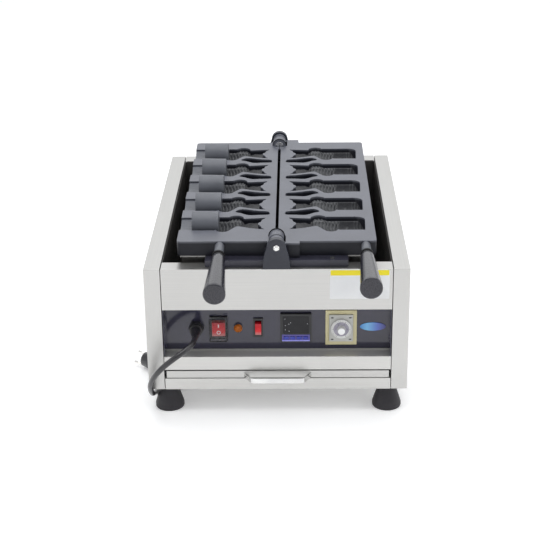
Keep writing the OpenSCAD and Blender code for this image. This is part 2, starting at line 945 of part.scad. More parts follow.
module handle_rod() {
    translate([0, 0, boss_out])
        cylinder(r = stub_r, h = stub_l);
    translate([0, 0, ferrule_y])
        cylinder(r = rod_core_r, h = handle_l - ferrule_y - grip_wall);
}

module ferrule() {
    translate([0, 0, ferrule_y]) difference() {
        union() {
            cylinder(r = ring_r - 1.2, h = ferrule_l);
            for (z = [0, ferrule_l - ring_l])
                translate([0, 0, z])
                    cylinder(r = ring_r, h = ring_l);
        }
        translate([0, 0, -eps])
            cylinder(r = rod_core_r + 0.05, h = ferrule_l + 2 * eps);
    }
}

module grip() {
    low = ferrule_y + ferrule_l;
    rotate_extrude()
        polygon([[rod_core_r + 0.05, low], [grip_r1, low], [grip_r2, handle_l - grip_edge],
            [grip_r2 - grip_edge, handle_l], [0, handle_l], [0, handle_l - grip_wall + 0.1],
            [rod_core_r + 0.05, handle_l - grip_wall + 0.1]]);
}

module left_handle_rod() {
    left_side() color("darkgray") handle_axis(left_handle_x, left_droop) handle_rod();
}

module right_handle_rod() {
    right_side() color("darkgray") handle_axis(right_handle_x, 0) handle_rod();
}

module left_ferrule() {
    left_side() color("black") handle_axis(left_handle_x, left_droop) ferrule();
}

module right_ferrule() {
    right_side() color("black") handle_axis(right_handle_x, 0) ferrule();
}

module left_grip() {
    left_side() color("dimgray") handle_axis(left_handle_x, left_droop) grip();
}

module right_grip() {
    right_side() color("dimgray") handle_axis(right_handle_x, 0) grip();
}

// Crumb drawer: a shallow tray behind a narrow front, with a bow handle
tray_gap = 0.4;
tray_z = rail_z + tray_gap;
tray_top = apron_z - 1.4;
tray_x = liner_x - 2.5;
tray_y = 4;
front_t = 1.5;

module drawer_tray() {
    place() color("gainsboro") {
        difference() {
            translate([-tray_x, tray_y, tray_z])
                cube([2 * tray_x, tray_l, tray_top - tray_z]);
            translate([-tray_x + tray_t, tray_y + front_t, tray_z + tray_t])
                cube([2 * (tray_x - tray_t), tray_l - front_t - tray_t, tray_top - tray_z]);
        }
    }
}

// Bow handle: a flat strip whose ends lean outwards to the drawer's front
pull_strip = 2;
pull_bend = 8;
pull_lean = 60;
pull_bend_x = pull_w / 2 - pull_bend * sin(pull_lean)
    - (tray_y + pull_reach - pull_bend * (1 - cos(pull_lean))) / tan(pull_lean);

// Right-hand edge of the bow seen from above, from its middle back to rear_y
function bow_edge(inset, rear_y) =
    let (r = pull_bend - inset, middle = [pull_bend_x, pull_bend - pull_reach],
        touch = middle + r * [sin(pull_lean), -cos(pull_lean)])
    concat([for (i = [0 : 5]) middle + r * [sin(pull_lean * i / 5), -cos(pull_lean * i / 5)]],
        [[touch.x + (rear_y - touch.y) / tan(pull_lean), rear_y]]);

module bow_area(inset, rear_y) {
    edge = bow_edge(inset, rear_y);
    polygon(concat(edge, [for (i = [len(edge) - 1 : -1 : 0]) [-edge[i].x, edge[i].y]]));
}

module drawer_pull() {
    place() color("whitesmoke")
        translate([0, 0, tray_z + 0.8])
            linear_extrude(pull_h) difference() {
                bow_area(0, tray_y);
                bow_area(pull_strip, tray_y + 1);
            }
}

module drawer_runners() {
    shelf_w = 16;
    runner_t = 1.2;
    runner_h = 40;
    shelf_z = tray_z - 0.2 - runner_t;
    place() color("silver")
        for (side = [0, 1])
            mirror([side, 0, 0]) {
                translate([liner_x - shelf_w, 16, shelf_z])
                    cube([shelf_w + runner_t, body_l - 40, runner_t]);
                translate([liner_x, 16, shelf_z])
                    cube([runner_t, body_l - 40, runner_h]);
            }
}

// Power switch: a frame with a housing behind, a rocker and a clear cover
rocker_w = 21;
rocker_h = 26;
rocker_tilt = 8;
rocker_gap = 0.35;
hub_r = 1.5;
hub_l = 0.9;
rocker_axis_y = panel_y + 3;
frame_d = 3;

module switch_body(x, w, h, opening_w, opening_h, depth) {
    hole_w = opening_w + 2 * rocker_gap;
    hole_h = opening_h + 4;
    place() color("black") difference() {
        union() {
            translate([x - w / 2, panel_y - frame_d, control_z - h / 2])
                cube([w, frame_d, h]);
            translate([x - w / 2 + switch_inset, panel_y - 1, control_z - h / 2 + switch_inset])
                cube([w - 2 * switch_inset, depth + 1, h - 2 * switch_inset]);
        }
        translate([x - hole_w / 2, panel_y - frame_d - eps, control_z - hole_h / 2])
            cube([hole_w, frame_d + 12, hole_h]);
    }
}

// Rocker seen from the side: two flats that meet at a shallow angle, on a round hub
module rocker(x, w, h) {
    rise = 7.5;
    lean = tan(rocker_tilt) * h / 2;
    place() color("red") translate([x - w / 2, rocker_axis_y, control_z]) {
        rotate([90, 0, 90]) rotate([0, 0, rocker_tilt]) linear_extrude(w)
            polygon([[-rise, 0], [-rise - lean, h / 2 - 0.4], [2, h / 2 - 1.6], [3, 0],
                [2, 1.6 - h / 2], [-rise - lean, 0.4 - h / 2]]);
        rotate([0, 90, 0]) translate([0, 0, -hub_l])
            cylinder(r = hub_r, h = w + 2 * hub_l);
    }
}

module hub_seats(x, w) {
    translate([x - w / 2 - hub_l - 0.1, rocker_axis_y, control_z])
        rotate([0, 90, 0]) cylinder(r = hub_r + 0.05, h = w + 2 * hub_l + 0.2);
}

module power_switch_body() {
    difference() {
        switch_body(power_x, power_w, power_h, rocker_w, rocker_h, 30);
        place() hub_seats(power_x, rocker_w);
    }
}

module power_rocker() {
    rocker(power_x, rocker_w, rocker_h);
}

cover_d = 10;

module power_switch_cover() {
    wall = 1.2;
    place() color("white") translate([power_x, panel_y - frame_d, control_z])
        rotate([90, 0, 0]) difference() {
            translate([-power_w / 2, -power_h / 2, 0])
                rounded_plate(power_w, power_h, cover_d, 3);
            translate([wall - power_w / 2, wall - power_h / 2, -eps])
                rounded_plate(power_w - 2 * wall, power_h - 2 * wall, cover_d - wall, 2);
        }
}

alarm_rocker_w = 9.8;
alarm_rocker_h = 22;

module alarm_switch_body() {
    difference() {
        switch_body(alarm_x, alarm_w, alarm_h, alarm_rocker_w, alarm_rocker_h, 24);
        place() hub_seats(alarm_x, alarm_rocker_w);
    }
}

module alarm_rocker() {
    rocker(alarm_x, alarm_rocker_w, alarm_rocker_h);
}

// Signal lamp
module lamp_body() {
    place() color("silver") translate([lamp_x, 0, control_z]) difference() {
        union() {
            translate([0, panel_y - 3, 0])
                along_y(lamp_r, 3);
            translate([0, panel_y - 1, 0])
                along_y(lamp_r - 1, 26);
        }
        translate([0, panel_y - 3 - eps, 0])
            along_y(lamp_r - 1.2, 5);
    }
}

module lamp_lens() {
    lens_r = lamp_r + 0.3;
    place() color("orange") translate([lamp_x, 0, control_z]) {
        translate([0, panel_y - 4, 0])
            along_y(lamp_r - 1.3, 5.9);
        translate([0, panel_y - 5, 0])
            along_y(lens_r, 2);
        translate([0, panel_y - 7.5, 0])
            rotate([-90, 0, 0]) cylinder(r1 = lens_r * 0.6, r2 = lens_r, h = 2.5);
    }
}

// Temperature controller with four keys below its display
key_w = 8;
key_h = 5;
key_pitch = 10.5;
key_drop = 17;
key_gap = 0.3;
key_travel = 0.8;
bezel_d = 5.5;
controller_d = 75;
bezel_y = panel_y - bezel_d;
key_back_y = bezel_y + 3.5;

function key_x(i) = controller_x + (i - 2.5) * key_pitch;

module controller_body() {
    half = controller_w / 2;
    place() color("black") difference() {
        union() {
            translate([controller_x - half, bezel_y, control_z - half])
                cube([controller_w, bezel_d, controller_w]);
            translate([controller_x - half + controller_inset, panel_y - 1,
                control_z - half + controller_inset])
                cube([controller_w - 2 * controller_inset, controller_d + 1,
                    controller_w - 2 * controller_inset]);
        }
        translate([controller_x - half + 4, bezel_y - eps, control_z - 9])
            cube([controller_w - 8, 1, half + 9 - 4]);
        for (i = [1 : 4])
            translate([key_x(i) - key_w / 2 - key_gap, bezel_y - eps,
                control_z - key_drop - key_h / 2 - key_gap])
                cube([key_w + 2 * key_gap, key_back_y + key_travel + key_gap - bezel_y,
                    key_h + 2 * key_gap]);
    }
}

module controller_key(i) {
    place() color("royalblue")
        translate([key_x(i) - key_w / 2, bezel_y - 1, control_z - key_drop - key_h / 2])
            cube([key_w, key_back_y - bezel_y + 1, key_h]);
}

// Timer: a frame round a grey face, with a clear dial and its knob
timer_frame_d = 3.5;
dial_r = 16.5;
knob_r = 6.3;
dial_shaft_r = 3;
timer_face_y = panel_y - 6;
timer_d = 58;

module timer_frame() {
    place() color("khaki") translate([timer_x, panel_y, control_z])
        rotate([90, 0, 0]) linear_extrude(timer_frame_d) difference() {
            square([timer_w, timer_h], center = true);
            square([timer_face_w + 0.2, timer_face_h + 0.2], center = true);
        }
}

module timer_body() {
    place() color("lightgray") difference() {
        translate([timer_x - timer_face_w / 2, timer_face_y, control_z - timer_face_h / 2])
            cube([timer_face_w, panel_y + timer_d - timer_face_y, timer_face_h]);
        translate([timer_x, timer_face_y - eps, control_z])
            along_y(dial_shaft_r + 0.05, 8);
    }
}

module timer_dial() {
    place() color("white") translate([timer_x, timer_face_y, control_z]) {
        translate([0, -3.4, 0])
            along_y(dial_r, 3);
        translate([0, -12.4, 0])
            rotate([-90, 0, 0]) cylinder(r1 = knob_r - 0.6, r2 = knob_r, h = 9.1);
        translate([0, -0.5, 0])
            along_y(dial_shaft_r, 8);
    }
}

// Switching relay for the heaters, on the tray behind the panel
contactor_y = 84;

module contactor() {
    place() color("lightgray") translate([gland_x + 8, contactor_y, tray_floor_z + sheet]) {
        translate([-24, -22, 0])
            cube([48, 44, 8]);
        translate([-21, -22, 8])
            cube([42, 44, 46]);
        translate([-24, -16, 54])
            cube([48, 32, 12]);
    }
}

// Cable gland: a nut on each side of the panel and a hollow stem
gland_d = 14;
relief_l = 26;

module cable_gland() {
    place() color("black") translate([gland_x, 0, control_z]) rotate([-90, 0, 0]) difference() {
        union() {
            translate([0, 0, panel_y - gland_d])
                cylinder(r = 10.5, h = gland_d - 5);
            translate([0, 0, panel_y - 8])
                cylinder(r = 12.5, h = 8, $fn = 6);
            translate([0, 0, panel_y - 1])
                cylinder(r = gland_thread_r, h = 14);
            translate([0, 0, panel_y + sheet])
                cylinder(r = 12.5, h = 5, $fn = 6);
        }
        translate([0, 0, panel_y - gland_d - eps])
            cylinder(r = cord_d / 2 + 1, h = 40);
    }
}

module strain_relief() {
    stem_r = cord_d / 2 + 0.9;
    place() color("black") translate([gland_x, panel_y - gland_d, control_z]) {
        rotate([90, 0, 0])
            cylinder(r1 = 8, r2 = cord_d / 2 + 0.8, h = relief_l);
        translate([0, -1, 0])
            along_y(stem_r, gland_d + 6);
    }
}

// Route of the lead, chosen by hand and measured from the left wall: out of the gland,
// down past the front foot, and under the body to the coil
cord_r = cord_d / 2;
relief_end_y = panel_y - gland_d - relief_l;
cord_start = [gland_x, relief_end_y, control_z];
lead_route = [[79, -20, 141.5], [77, -32, 141], [71.6, -42.8, 139], [63, -51.5, 135],
    [52, -57, 129], [41.5, -59, 121.5], [32, -58.5, 113], [23.5, -56, 103.5],
    [16, -51.5, 92.5], [10.5, -45, 80.5], [7, -37, 68], [6, -27, 56], [6, -15, 45],
    [6, -1, 35.5], [5, 15, 27.5], [6, 31, 20], [11, 47, 13], [20, 61, 8],
    [33.5, 73, 5], [51, 83, 4.5], [69, 93, 4.5], [96, 106, 4.5], [123, 119, 4.5],
    [150, 132, 4.5]];
lead_points = [for (p = lead_route) p - [wall_x, 0, 0]];

// The stored length: two layers of round turns that spiral in and out again
coil_setback = [158, 205];
coil_centre = coil_setback - [wall_x, 0];
coil_heading = 26;
coil_angle = coil_heading - 90;
coil_turns = 3 + (180 - coil_angle) / 360;
layer_h = cord_d + 0.6;
coil_steps = 24;
turn_back = coil_turns / 2;

function smooth(t) = t <= 0 ? 0 : t >= 1 ? 1 : t * t * (3 - 2 * t);
function coil_radius(t) = coil_r - coil_step * (turn_back - abs(t - turn_back));
function coil_z(t) = cord_r + layer_h * smooth((t - turn_back + 0.25) * 2);
function coil_point(t) = [
    coil_centre[0] + coil_radius(t) * cos(coil_angle + 360 * t),
    coil_centre[1] + coil_radius(t) * sin(coil_angle + 360 * t),
    coil_z(t)];
coil_end_angle = coil_angle + 360 * coil_turns;
way_in = cord_d * [cos(coil_heading), sin(coil_heading), 0];
way_out = cord_d * [-sin(coil_end_angle), cos(coil_end_angle), 0];
coil_in = coil_point(0) - way_in;
coil_out = coil_point(coil_turns) + way_out;
coil_count = round(coil_turns * coil_steps);
coil_path = concat([coil_in],
    [for (i = [0 : coil_count]) coil_point(i * coil_turns / coil_count)], [coil_out]);

// From the coil in one round bend to the plug beside the body, with a little sag
plug_r = 15;
plug_turn = 148;
tail_bend_r = 40;
tail_bend_y = 160;
tail_sag = 3;
tail_steps = 9;
tail_start = coil_out + way_out;
bend_middle = [tail_start.x - tail_bend_r, tail_bend_y, 0];
plug_way = [cos(plug_turn), sin(plug_turn), 0];
function tail_z(t) = tail_start.z + (plug_r - tail_start.z) * t - tail_sag * pow(sin(180 * t), 2);
function bend_point(t) =
    let (a = (plug_turn - 270) * t)
    bend_middle + [tail_bend_r * cos(a), tail_bend_r * sin(a), tail_z(t)];
tail_points = [for (i = [0 : tail_steps]) bend_point(i / tail_steps)];
plug_tail = tail_points[tail_steps] + cord_d * plug_way;

// Tube along a list of points, with triangles between one ring and the next
function unit(v) = v / norm(v);
function heading(p, i) = unit(p[min(i + 1, len(p) - 1)] - p[max(i - 1, 0)]);
function ring(p, i, r, n) =
    let (t = heading(p, i), side = unit(cross(t, [0, 0, 1])), up = cross(side, t))
    [for (k = [0 : n - 1]) p[i] + r * (cos(360 * k / n) * side + sin(360 * k / n) * up)];

module tube(p, r, n) {
    last = len(p) - 1;
    points = [for (i = [0 : last]) each ring(p, i, r, n)];
    walls = [for (i = [0 : last - 1], k = [0 : n - 1], half = [0, 1])
        let (a = i * n + k, b = i * n + (k + 1) % n)
        half == 0 ? [a, b, b + n] : [a, b + n, a + n]];
    ends = [[for (k = [n - 1 : -1 : 0]) k], [for (k = [0 : n - 1]) last * n + k]];
    polyhedron(points = points, faces = concat(walls, ends));
}

module mains_cord() {
    place() color("dimgray") {
        tube(concat([cord_start], lead_points, [coil_in - way_in, coil_in]), cord_r, 10);
        tube(concat([coil_out, tail_start], tail_points, [plug_tail]), cord_r, 10);
    }
}

module cord_coil() {
    place() color("dimgray") tube(coil_path, cord_r, 6);
}

// Least gap of the coil to itself, measured between its points
coil_gap = min([for (i = [0 : len(coil_path) - 10], j = [i + 9 : len(coil_path) - 1])
    norm(coil_path[i] - coil_path[j])]) - cord_d;
echo(str("least gap of the coil to itself in mm: ", coil_gap));

// Plug that lies on its widest part, with its two pins in a slanting plane
plug_tail_l = 28;
plug_l = 33;
plug_face_r = 12.6;
pin_l = 19;
pin_space = 19;
pin_slant = 40;

module at_plug() {
    place() translate(plug_tail) rotate([0, 0, plug_turn]) rotate([0, 90, 0]) children();
}

module plug_body() {
    taper = 16;
    at_plug() color("black") {
        cylinder(r1 = cord_r + 1, r2 = 8.5, h = plug_tail_l);
        translate([0, 0, plug_tail_l])
            cylinder(r1 = 11, r2 = plug_r, h = plug_l - taper);
        translate([0, 0, plug_tail_l + plug_l - taper])
            cylinder(r1 = plug_r, r2 = plug_face_r, h = taper);
    }
}

module plug_pins() {
    at_plug() color("whitesmoke") rotate([0, 0, pin_slant])
        for (side = [-1, 1])
            translate([side * pin_space / 2, 0, plug_tail_l + plug_l]) {
                cylinder(r = 2.4, h = pin_l - 2);
                translate([0, 0, pin_l - 2])
                    cylinder(r1 = 2.4, r2 = 1.2, h = 2);
            }
}

left_side_wall();
right_side_wall();
front_upper_panel();
front_lower_panel();
control_panel();
rear_panel();
base_pan();
drip_liner();
component_tray();
front_crossbar();
rear_crossbar();
front_hinge_bracket();
rear_hinge_bracket();
hinge_pins();
pin_rings();
frame_screws();
drawer_runners();
feet();
foot_bolts();
power_switch_body();
power_switch_cover();
power_rocker();
lamp_body();
lamp_lens();
alarm_switch_body();
alarm_rocker();
controller_body();
controller_key(1);  // controller_key_1
controller_key(2);  // controller_key_2
controller_key(3);  // controller_key_3
controller_key(4);  // controller_key_4
timer_frame();
timer_body();
timer_dial();
contactor();
cable_gland();
strain_relief();
mains_cord();
cord_coil();
plug_body();
plug_pins();
left_mould_plate();
mouth_cores();
left_plate_screws();
left_heater();
left_heater_cover();
left_handle_rod();
left_ferrule();
left_grip();
right_mould_plate();
right_plate_screws();
right_heater();
right_heater_cover();
right_handle_rod();
right_ferrule();
right_grip();
drawer_tray();
drawer_pull();
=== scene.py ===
"""Looks of a countertop iron for five open-mouth fish cakes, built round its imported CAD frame."""

import json
import math

import bmesh
import bpy
import numpy as np
from mathutils import Matrix, Vector


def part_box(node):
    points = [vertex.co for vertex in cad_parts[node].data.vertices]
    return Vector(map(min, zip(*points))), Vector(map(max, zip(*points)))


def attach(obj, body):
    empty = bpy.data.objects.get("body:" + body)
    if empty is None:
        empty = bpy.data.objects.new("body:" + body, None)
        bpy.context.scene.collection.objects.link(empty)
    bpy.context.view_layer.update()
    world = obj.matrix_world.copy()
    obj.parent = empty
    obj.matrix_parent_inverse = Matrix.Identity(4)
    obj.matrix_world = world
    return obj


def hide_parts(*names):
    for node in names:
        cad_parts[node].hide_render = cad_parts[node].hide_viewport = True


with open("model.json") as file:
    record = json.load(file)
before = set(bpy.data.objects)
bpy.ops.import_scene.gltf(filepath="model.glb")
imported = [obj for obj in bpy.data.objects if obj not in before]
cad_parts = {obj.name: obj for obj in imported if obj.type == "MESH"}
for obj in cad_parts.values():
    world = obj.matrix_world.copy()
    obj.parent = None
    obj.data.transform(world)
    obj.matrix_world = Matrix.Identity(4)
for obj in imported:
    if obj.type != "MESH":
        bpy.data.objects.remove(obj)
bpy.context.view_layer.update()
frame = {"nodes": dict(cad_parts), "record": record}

MM = 0.001
FRONT_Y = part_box("front_upper_panel")[0].y
HOUSING = "housing"
FACE_Z = 289.25


def at(x, y, z):
    """A point in the shared frame from millimetres: y from the body's front, z from the table."""
    return Vector((x * MM, FRONT_Y + y * MM, z * MM))


def link(thing):
    bpy.context.scene.collection.objects.link(thing)


# Camera, fitted to the corners of the body in the photograph
PHOTO_WIDTH_PX = 550
FOCAL_PX = 1342
CAMERA_PLACE = (31, -1934, 1079)
CAMERA_PITCH = 23.34
CAMERA_YAW = -0.99
CAMERA_ROLL = -0.65


def add_camera():
    data = bpy.data.cameras.new("camera")
    data.sensor_width = 36
    data.lens = data.sensor_width * FOCAL_PX / PHOTO_WIDTH_PX
    data.clip_end = 50
    camera = bpy.data.objects.new("camera", data)
    pitch, yaw, roll = (math.radians(a) for a in (CAMERA_PITCH, CAMERA_YAW, CAMERA_ROLL))
    ahead = Vector((math.sin(yaw) * math.cos(pitch), math.cos(yaw) * math.cos(pitch), -math.sin(pitch)))
    side = Vector((math.cos(yaw), -math.sin(yaw), 0))
    up = side.cross(ahead)
    right = math.cos(roll) * side + math.sin(roll) * up
    top = math.cos(roll) * up - math.sin(roll) * side
    turned = Matrix((right, top, -ahead)).transposed().to_4x4()
    camera.matrix_world = Matrix.Translation(at(*CAMERA_PLACE)) @ turned
    link(camera)
    bpy.context.scene.camera = camera


add_camera()


# Materials
EVEN = (1, 1, 1)


def new_material(name):
    material = bpy.data.materials.new(name)
    material.use_nodes = True
    tree = material.node_tree
    shader = tree.nodes["Principled BSDF"]
    return material, tree, shader


def add_node(tree, kind, **values):
    node = tree.nodes.new(kind)
    for key, value in values.items():
        if key in node.inputs:
            node.inputs[key].default_value = value
        else:
            setattr(node, key, value)
    return node


def noise_on(tree, stretch, scale, detail=4, roughness=0.6):
    """Noise in the piece's own coordinates, stretched differently along each axis."""
    place = add_node(tree, "ShaderNodeTexCoord")
    mapping = add_node(tree, "ShaderNodeMapping")
    mapping.inputs["Scale"].default_value = stretch
    noise = add_node(tree, "ShaderNodeTexNoise", Scale=scale, Detail=detail, Roughness=roughness)
    tree.links.new(place.outputs["Object"], mapping.inputs["Vector"])
    tree.links.new(mapping.outputs["Vector"], noise.inputs["Vector"])
    return noise.outputs["Fac"]


def local_axis(tree, axis, source="Object"):
    """One axis of the piece's own coordinates, or of its normal."""
    place = add_node(tree, "ShaderNodeTexCoord")
    axes = add_node(tree, "ShaderNodeSeparateXYZ")
    tree.links.new(place.outputs[source], axes.inputs["Vector"])
    return axes.outputs[axis]


def spread(tree, value, low, high, start=0.3, end=0.7):
    """Maps noise to a range of values."""
    ramp = add_node(tree, "ShaderNodeMapRange")
    ramp.inputs["From Min"].default_value = start
    ramp.inputs["From Max"].default_value = end
    ramp.inputs["To Min"].default_value = low
    ramp.inputs["To Max"].default_value = high
    tree.links.new(value, ramp.inputs["Value"])
    return ramp.outputs["Result"]


def blend_colours(tree, value, first, second, start=0.35, end=0.65):
    """Maps a value to the colours between two given ones."""
    ramp = add_node(tree, "ShaderNodeValToRGB")
    ramp.color_ramp.elements[0].position = start
    ramp.color_ramp.elements[1].position = end
    ramp.color_ramp.elements[0].color = (*first, 1)
    ramp.color_ramp.elements[1].color = (*second, 1)
    tree.links.new(value, ramp.inputs["Fac"])
    return ramp.outputs["Color"]


def add_bump(tree, shader, value, strength, distance):
    bump = add_node(tree, "ShaderNodeBump", Strength=strength, Distance=distance)
    tree.links.new(value, bump.inputs["Height"])
    tree.links.new(bump.outputs["Normal"], shader.inputs["Normal"])


def coated(name, dark, light, roughness, grain, bump=0.25, stretch=(1, 1, 1), metallic=0.0, coat=0.0,
           patch=18, rough_spread=0.08, detail=4, specular=0.5):
    """An opaque finish: two close colours in soft patches, and a fine grain in the surface."""
    material, tree, shader = new_material(name)
    patches = noise_on(tree, EVEN, patch, detail=3)
    tree.links.new(blend_colours(tree, patches, dark, light), shader.inputs["Base Color"])
    grain_noise = noise_on(tree, stretch, grain, detail=detail)
    tree.links.new(spread(tree, grain_noise, roughness - rough_spread, roughness + rough_spread),
                   shader.inputs["Roughness"])
    add_bump(tree, shader, grain_noise, bump, 0.0002)
    shader.inputs["Metallic"].default_value = metallic
    shader.inputs["Specular IOR Level"].default_value = specular
    shader.inputs["Coat Weight"].default_value = coat
    shader.inputs["Coat Roughness"].default_value = 0.08
    return material


def brushed(name, stretch, dark=(0.51, 0.506, 0.493), light=(0.555, 0.55, 0.536), roughness=0.34,
            painted_light_on_top=False):
    """Stainless sheet with fine lines along one direction and faint handling marks."""
    material, tree, shader = new_material(name)
    lines = noise_on(tree, stretch, 1, detail=3, roughness=0.5)
    marks = noise_on(tree, EVEN, 9, detail=5)
    tree.links.new(blend_colours(tree, lines, dark, light), shader.inputs["Base Color"])
    both = add_node(tree, "ShaderNodeMath", operation="ADD")
    tree.links.new(spread(tree, lines, -0.04, 0.04), both.inputs[0])
    tree.links.new(spread(tree, marks, roughness - 0.03, roughness + 0.04), both.inputs[1])
    tree.links.new(both.outputs["Value"], shader.inputs["Roughness"])
    add_bump(tree, shader, lines, 0.06, 0.00005)
    shader.inputs["Metallic"].default_value = 1
    # Painted light: faces that look up are made less metallic, so they take more diffuse light and read
    # lighter
    if painted_light_on_top:
        facing_up = local_axis(tree, "Z", "Normal")
        tree.links.new(spread(tree, facing_up, 1, 0.55, 0.6, 0.9), shader.inputs["Metallic"])
    return material


def clear(name, colour, roughness=0.03, ior=1.25):
    """Clear plastic with a faint uneven haze."""
    material, tree, shader = new_material(name)
    haze = noise_on(tree, EVEN, 60)
    tree.links.new(spread(tree, haze, roughness, roughness + 0.05), shader.inputs["Roughness"])
    tint = blend_colours(tree, haze, colour, tuple(0.94 * c for c in colour))
    tree.links.new(tint, shader.inputs["Base Color"])
    shader.inputs["Transmission Weight"].default_value = 1
    shader.inputs["IOR"].default_value = ior
    return material


CASTING_DARK = (0.078, 0.083, 0.106)
CASTING_LIGHT = (0.094, 0.1, 0.127)
# Painted shade: the darker casting colours below the parting face, also the colour in the grooves of the
# carving
PAINTED_SHADE_DARK = (0.0085, 0.009, 0.014)
PAINTED_SHADE_LIGHT = (0.0125, 0.0135, 0.02)
# Painted highlight: the colour on the ridges of the carving
RIDGE_PAINTED_HIGHLIGHT = (0.088, 0.091, 0.098)
CASTING_GRAIN = 650
# Depths below the parting face in mm: the painted shade is gone above the first and full below the second
PAINTED_SHADE_FROM, PAINTED_SHADE_TO = 0.5, 4


def add_casting_grain(tree, shader):
    grain = noise_on(tree, EVEN, CASTING_GRAIN)
    tree.links.new(spread(tree, grain, 0.32, 0.48), shader.inputs["Roughness"])
    add_bump(tree, shader, grain, 0.3, 0.0002)


def burnt_below(name, local_face):
    """The casting's coating with painted shade: darker below the parting face, on the cavity walls and the
    plate's sides.
    """
    material, tree, shader = new_material(name)
    patches = noise_on(tree, EVEN, 18, detail=3)
    height = local_axis(tree, "Z")
    low, high = local_face - PAINTED_SHADE_TO * MM, local_face - PAINTED_SHADE_FROM * MM
    mix = add_node(tree, "ShaderNodeMixRGB")
    tree.links.new(spread(tree, height, 0, 1, low, high), mix.inputs["Fac"])
    tree.links.new(blend_colours(tree, patches, PAINTED_SHADE_DARK, PAINTED_SHADE_LIGHT), mix.inputs["Color1"])
    tree.links.new(blend_colours(tree, patches, CASTING_DARK, CASTING_LIGHT), mix.inputs["Color2"])
    tree.links.new(mix.outputs["Color"], shader.inputs["Base Color"])
    tree.links.new(spread(tree, height, 0.3, 0.85, low, high), shader.inputs["Specular IOR Level"])
    add_casting_grain(tree, shader)
    return material


def graded(name, axis, stops, roughness=0.25, coat=0.3):
    """Smooth plastic whose colour changes along an axis: the stops are both ends, then the rest."""
    material, tree, shader = new_material(name)
    start, end = stops[0][0], stops[1][0]
    ramp = add_node(tree, "ShaderNodeValToRGB")
    for i, (where, colour) in enumerate(stops):
        share = (where - start) / (end - start)
        stop = ramp.color_ramp.elements[i] if i < 2 else ramp.color_ramp.elements.new(share)
        stop.position = share
        stop.color = (*colour, 1)
    tree.links.new(spread(tree, local_axis(tree, axis), 0, 1, start, end), ramp.inputs["Fac"])
    tree.links.new(ramp.outputs["Color"], shader.inputs["Base Color"])
    grain = noise_on(tree, EVEN, 300)
    tree.links.new(spread(tree, grain, roughness - 0.03, roughness + 0.03), shader.inputs["Roughness"])
    add_bump(tree, shader, grain, 0.03, 0.0002)
    shader.inputs["Coat Weight"].default_value = coat
    return material


def carved(name):
    """The casting's coating on the carving: a painted highlight on the ridges, painted shade in the
    grooves.
    """
    material, tree, shader = new_material(name)
    height = add_node(tree, "ShaderNodeAttribute", attribute_name="carved")
    specks = add_node(tree, "ShaderNodeMath", operation="MULTIPLY")
    tree.links.new(height.outputs["Fac"], specks.inputs[0])
    tree.links.new(spread(tree, noise_on(tree, EVEN, 260), 0.45, 1.35), specks.inputs[1])
    tree.links.new(blend_colours(tree, specks.outputs["Value"], PAINTED_SHADE_DARK, RIDGE_PAINTED_HIGHLIGHT, 0.1, 0.9),
                   shader.inputs["Base Color"])
    add_casting_grain(tree, shader)
    return material


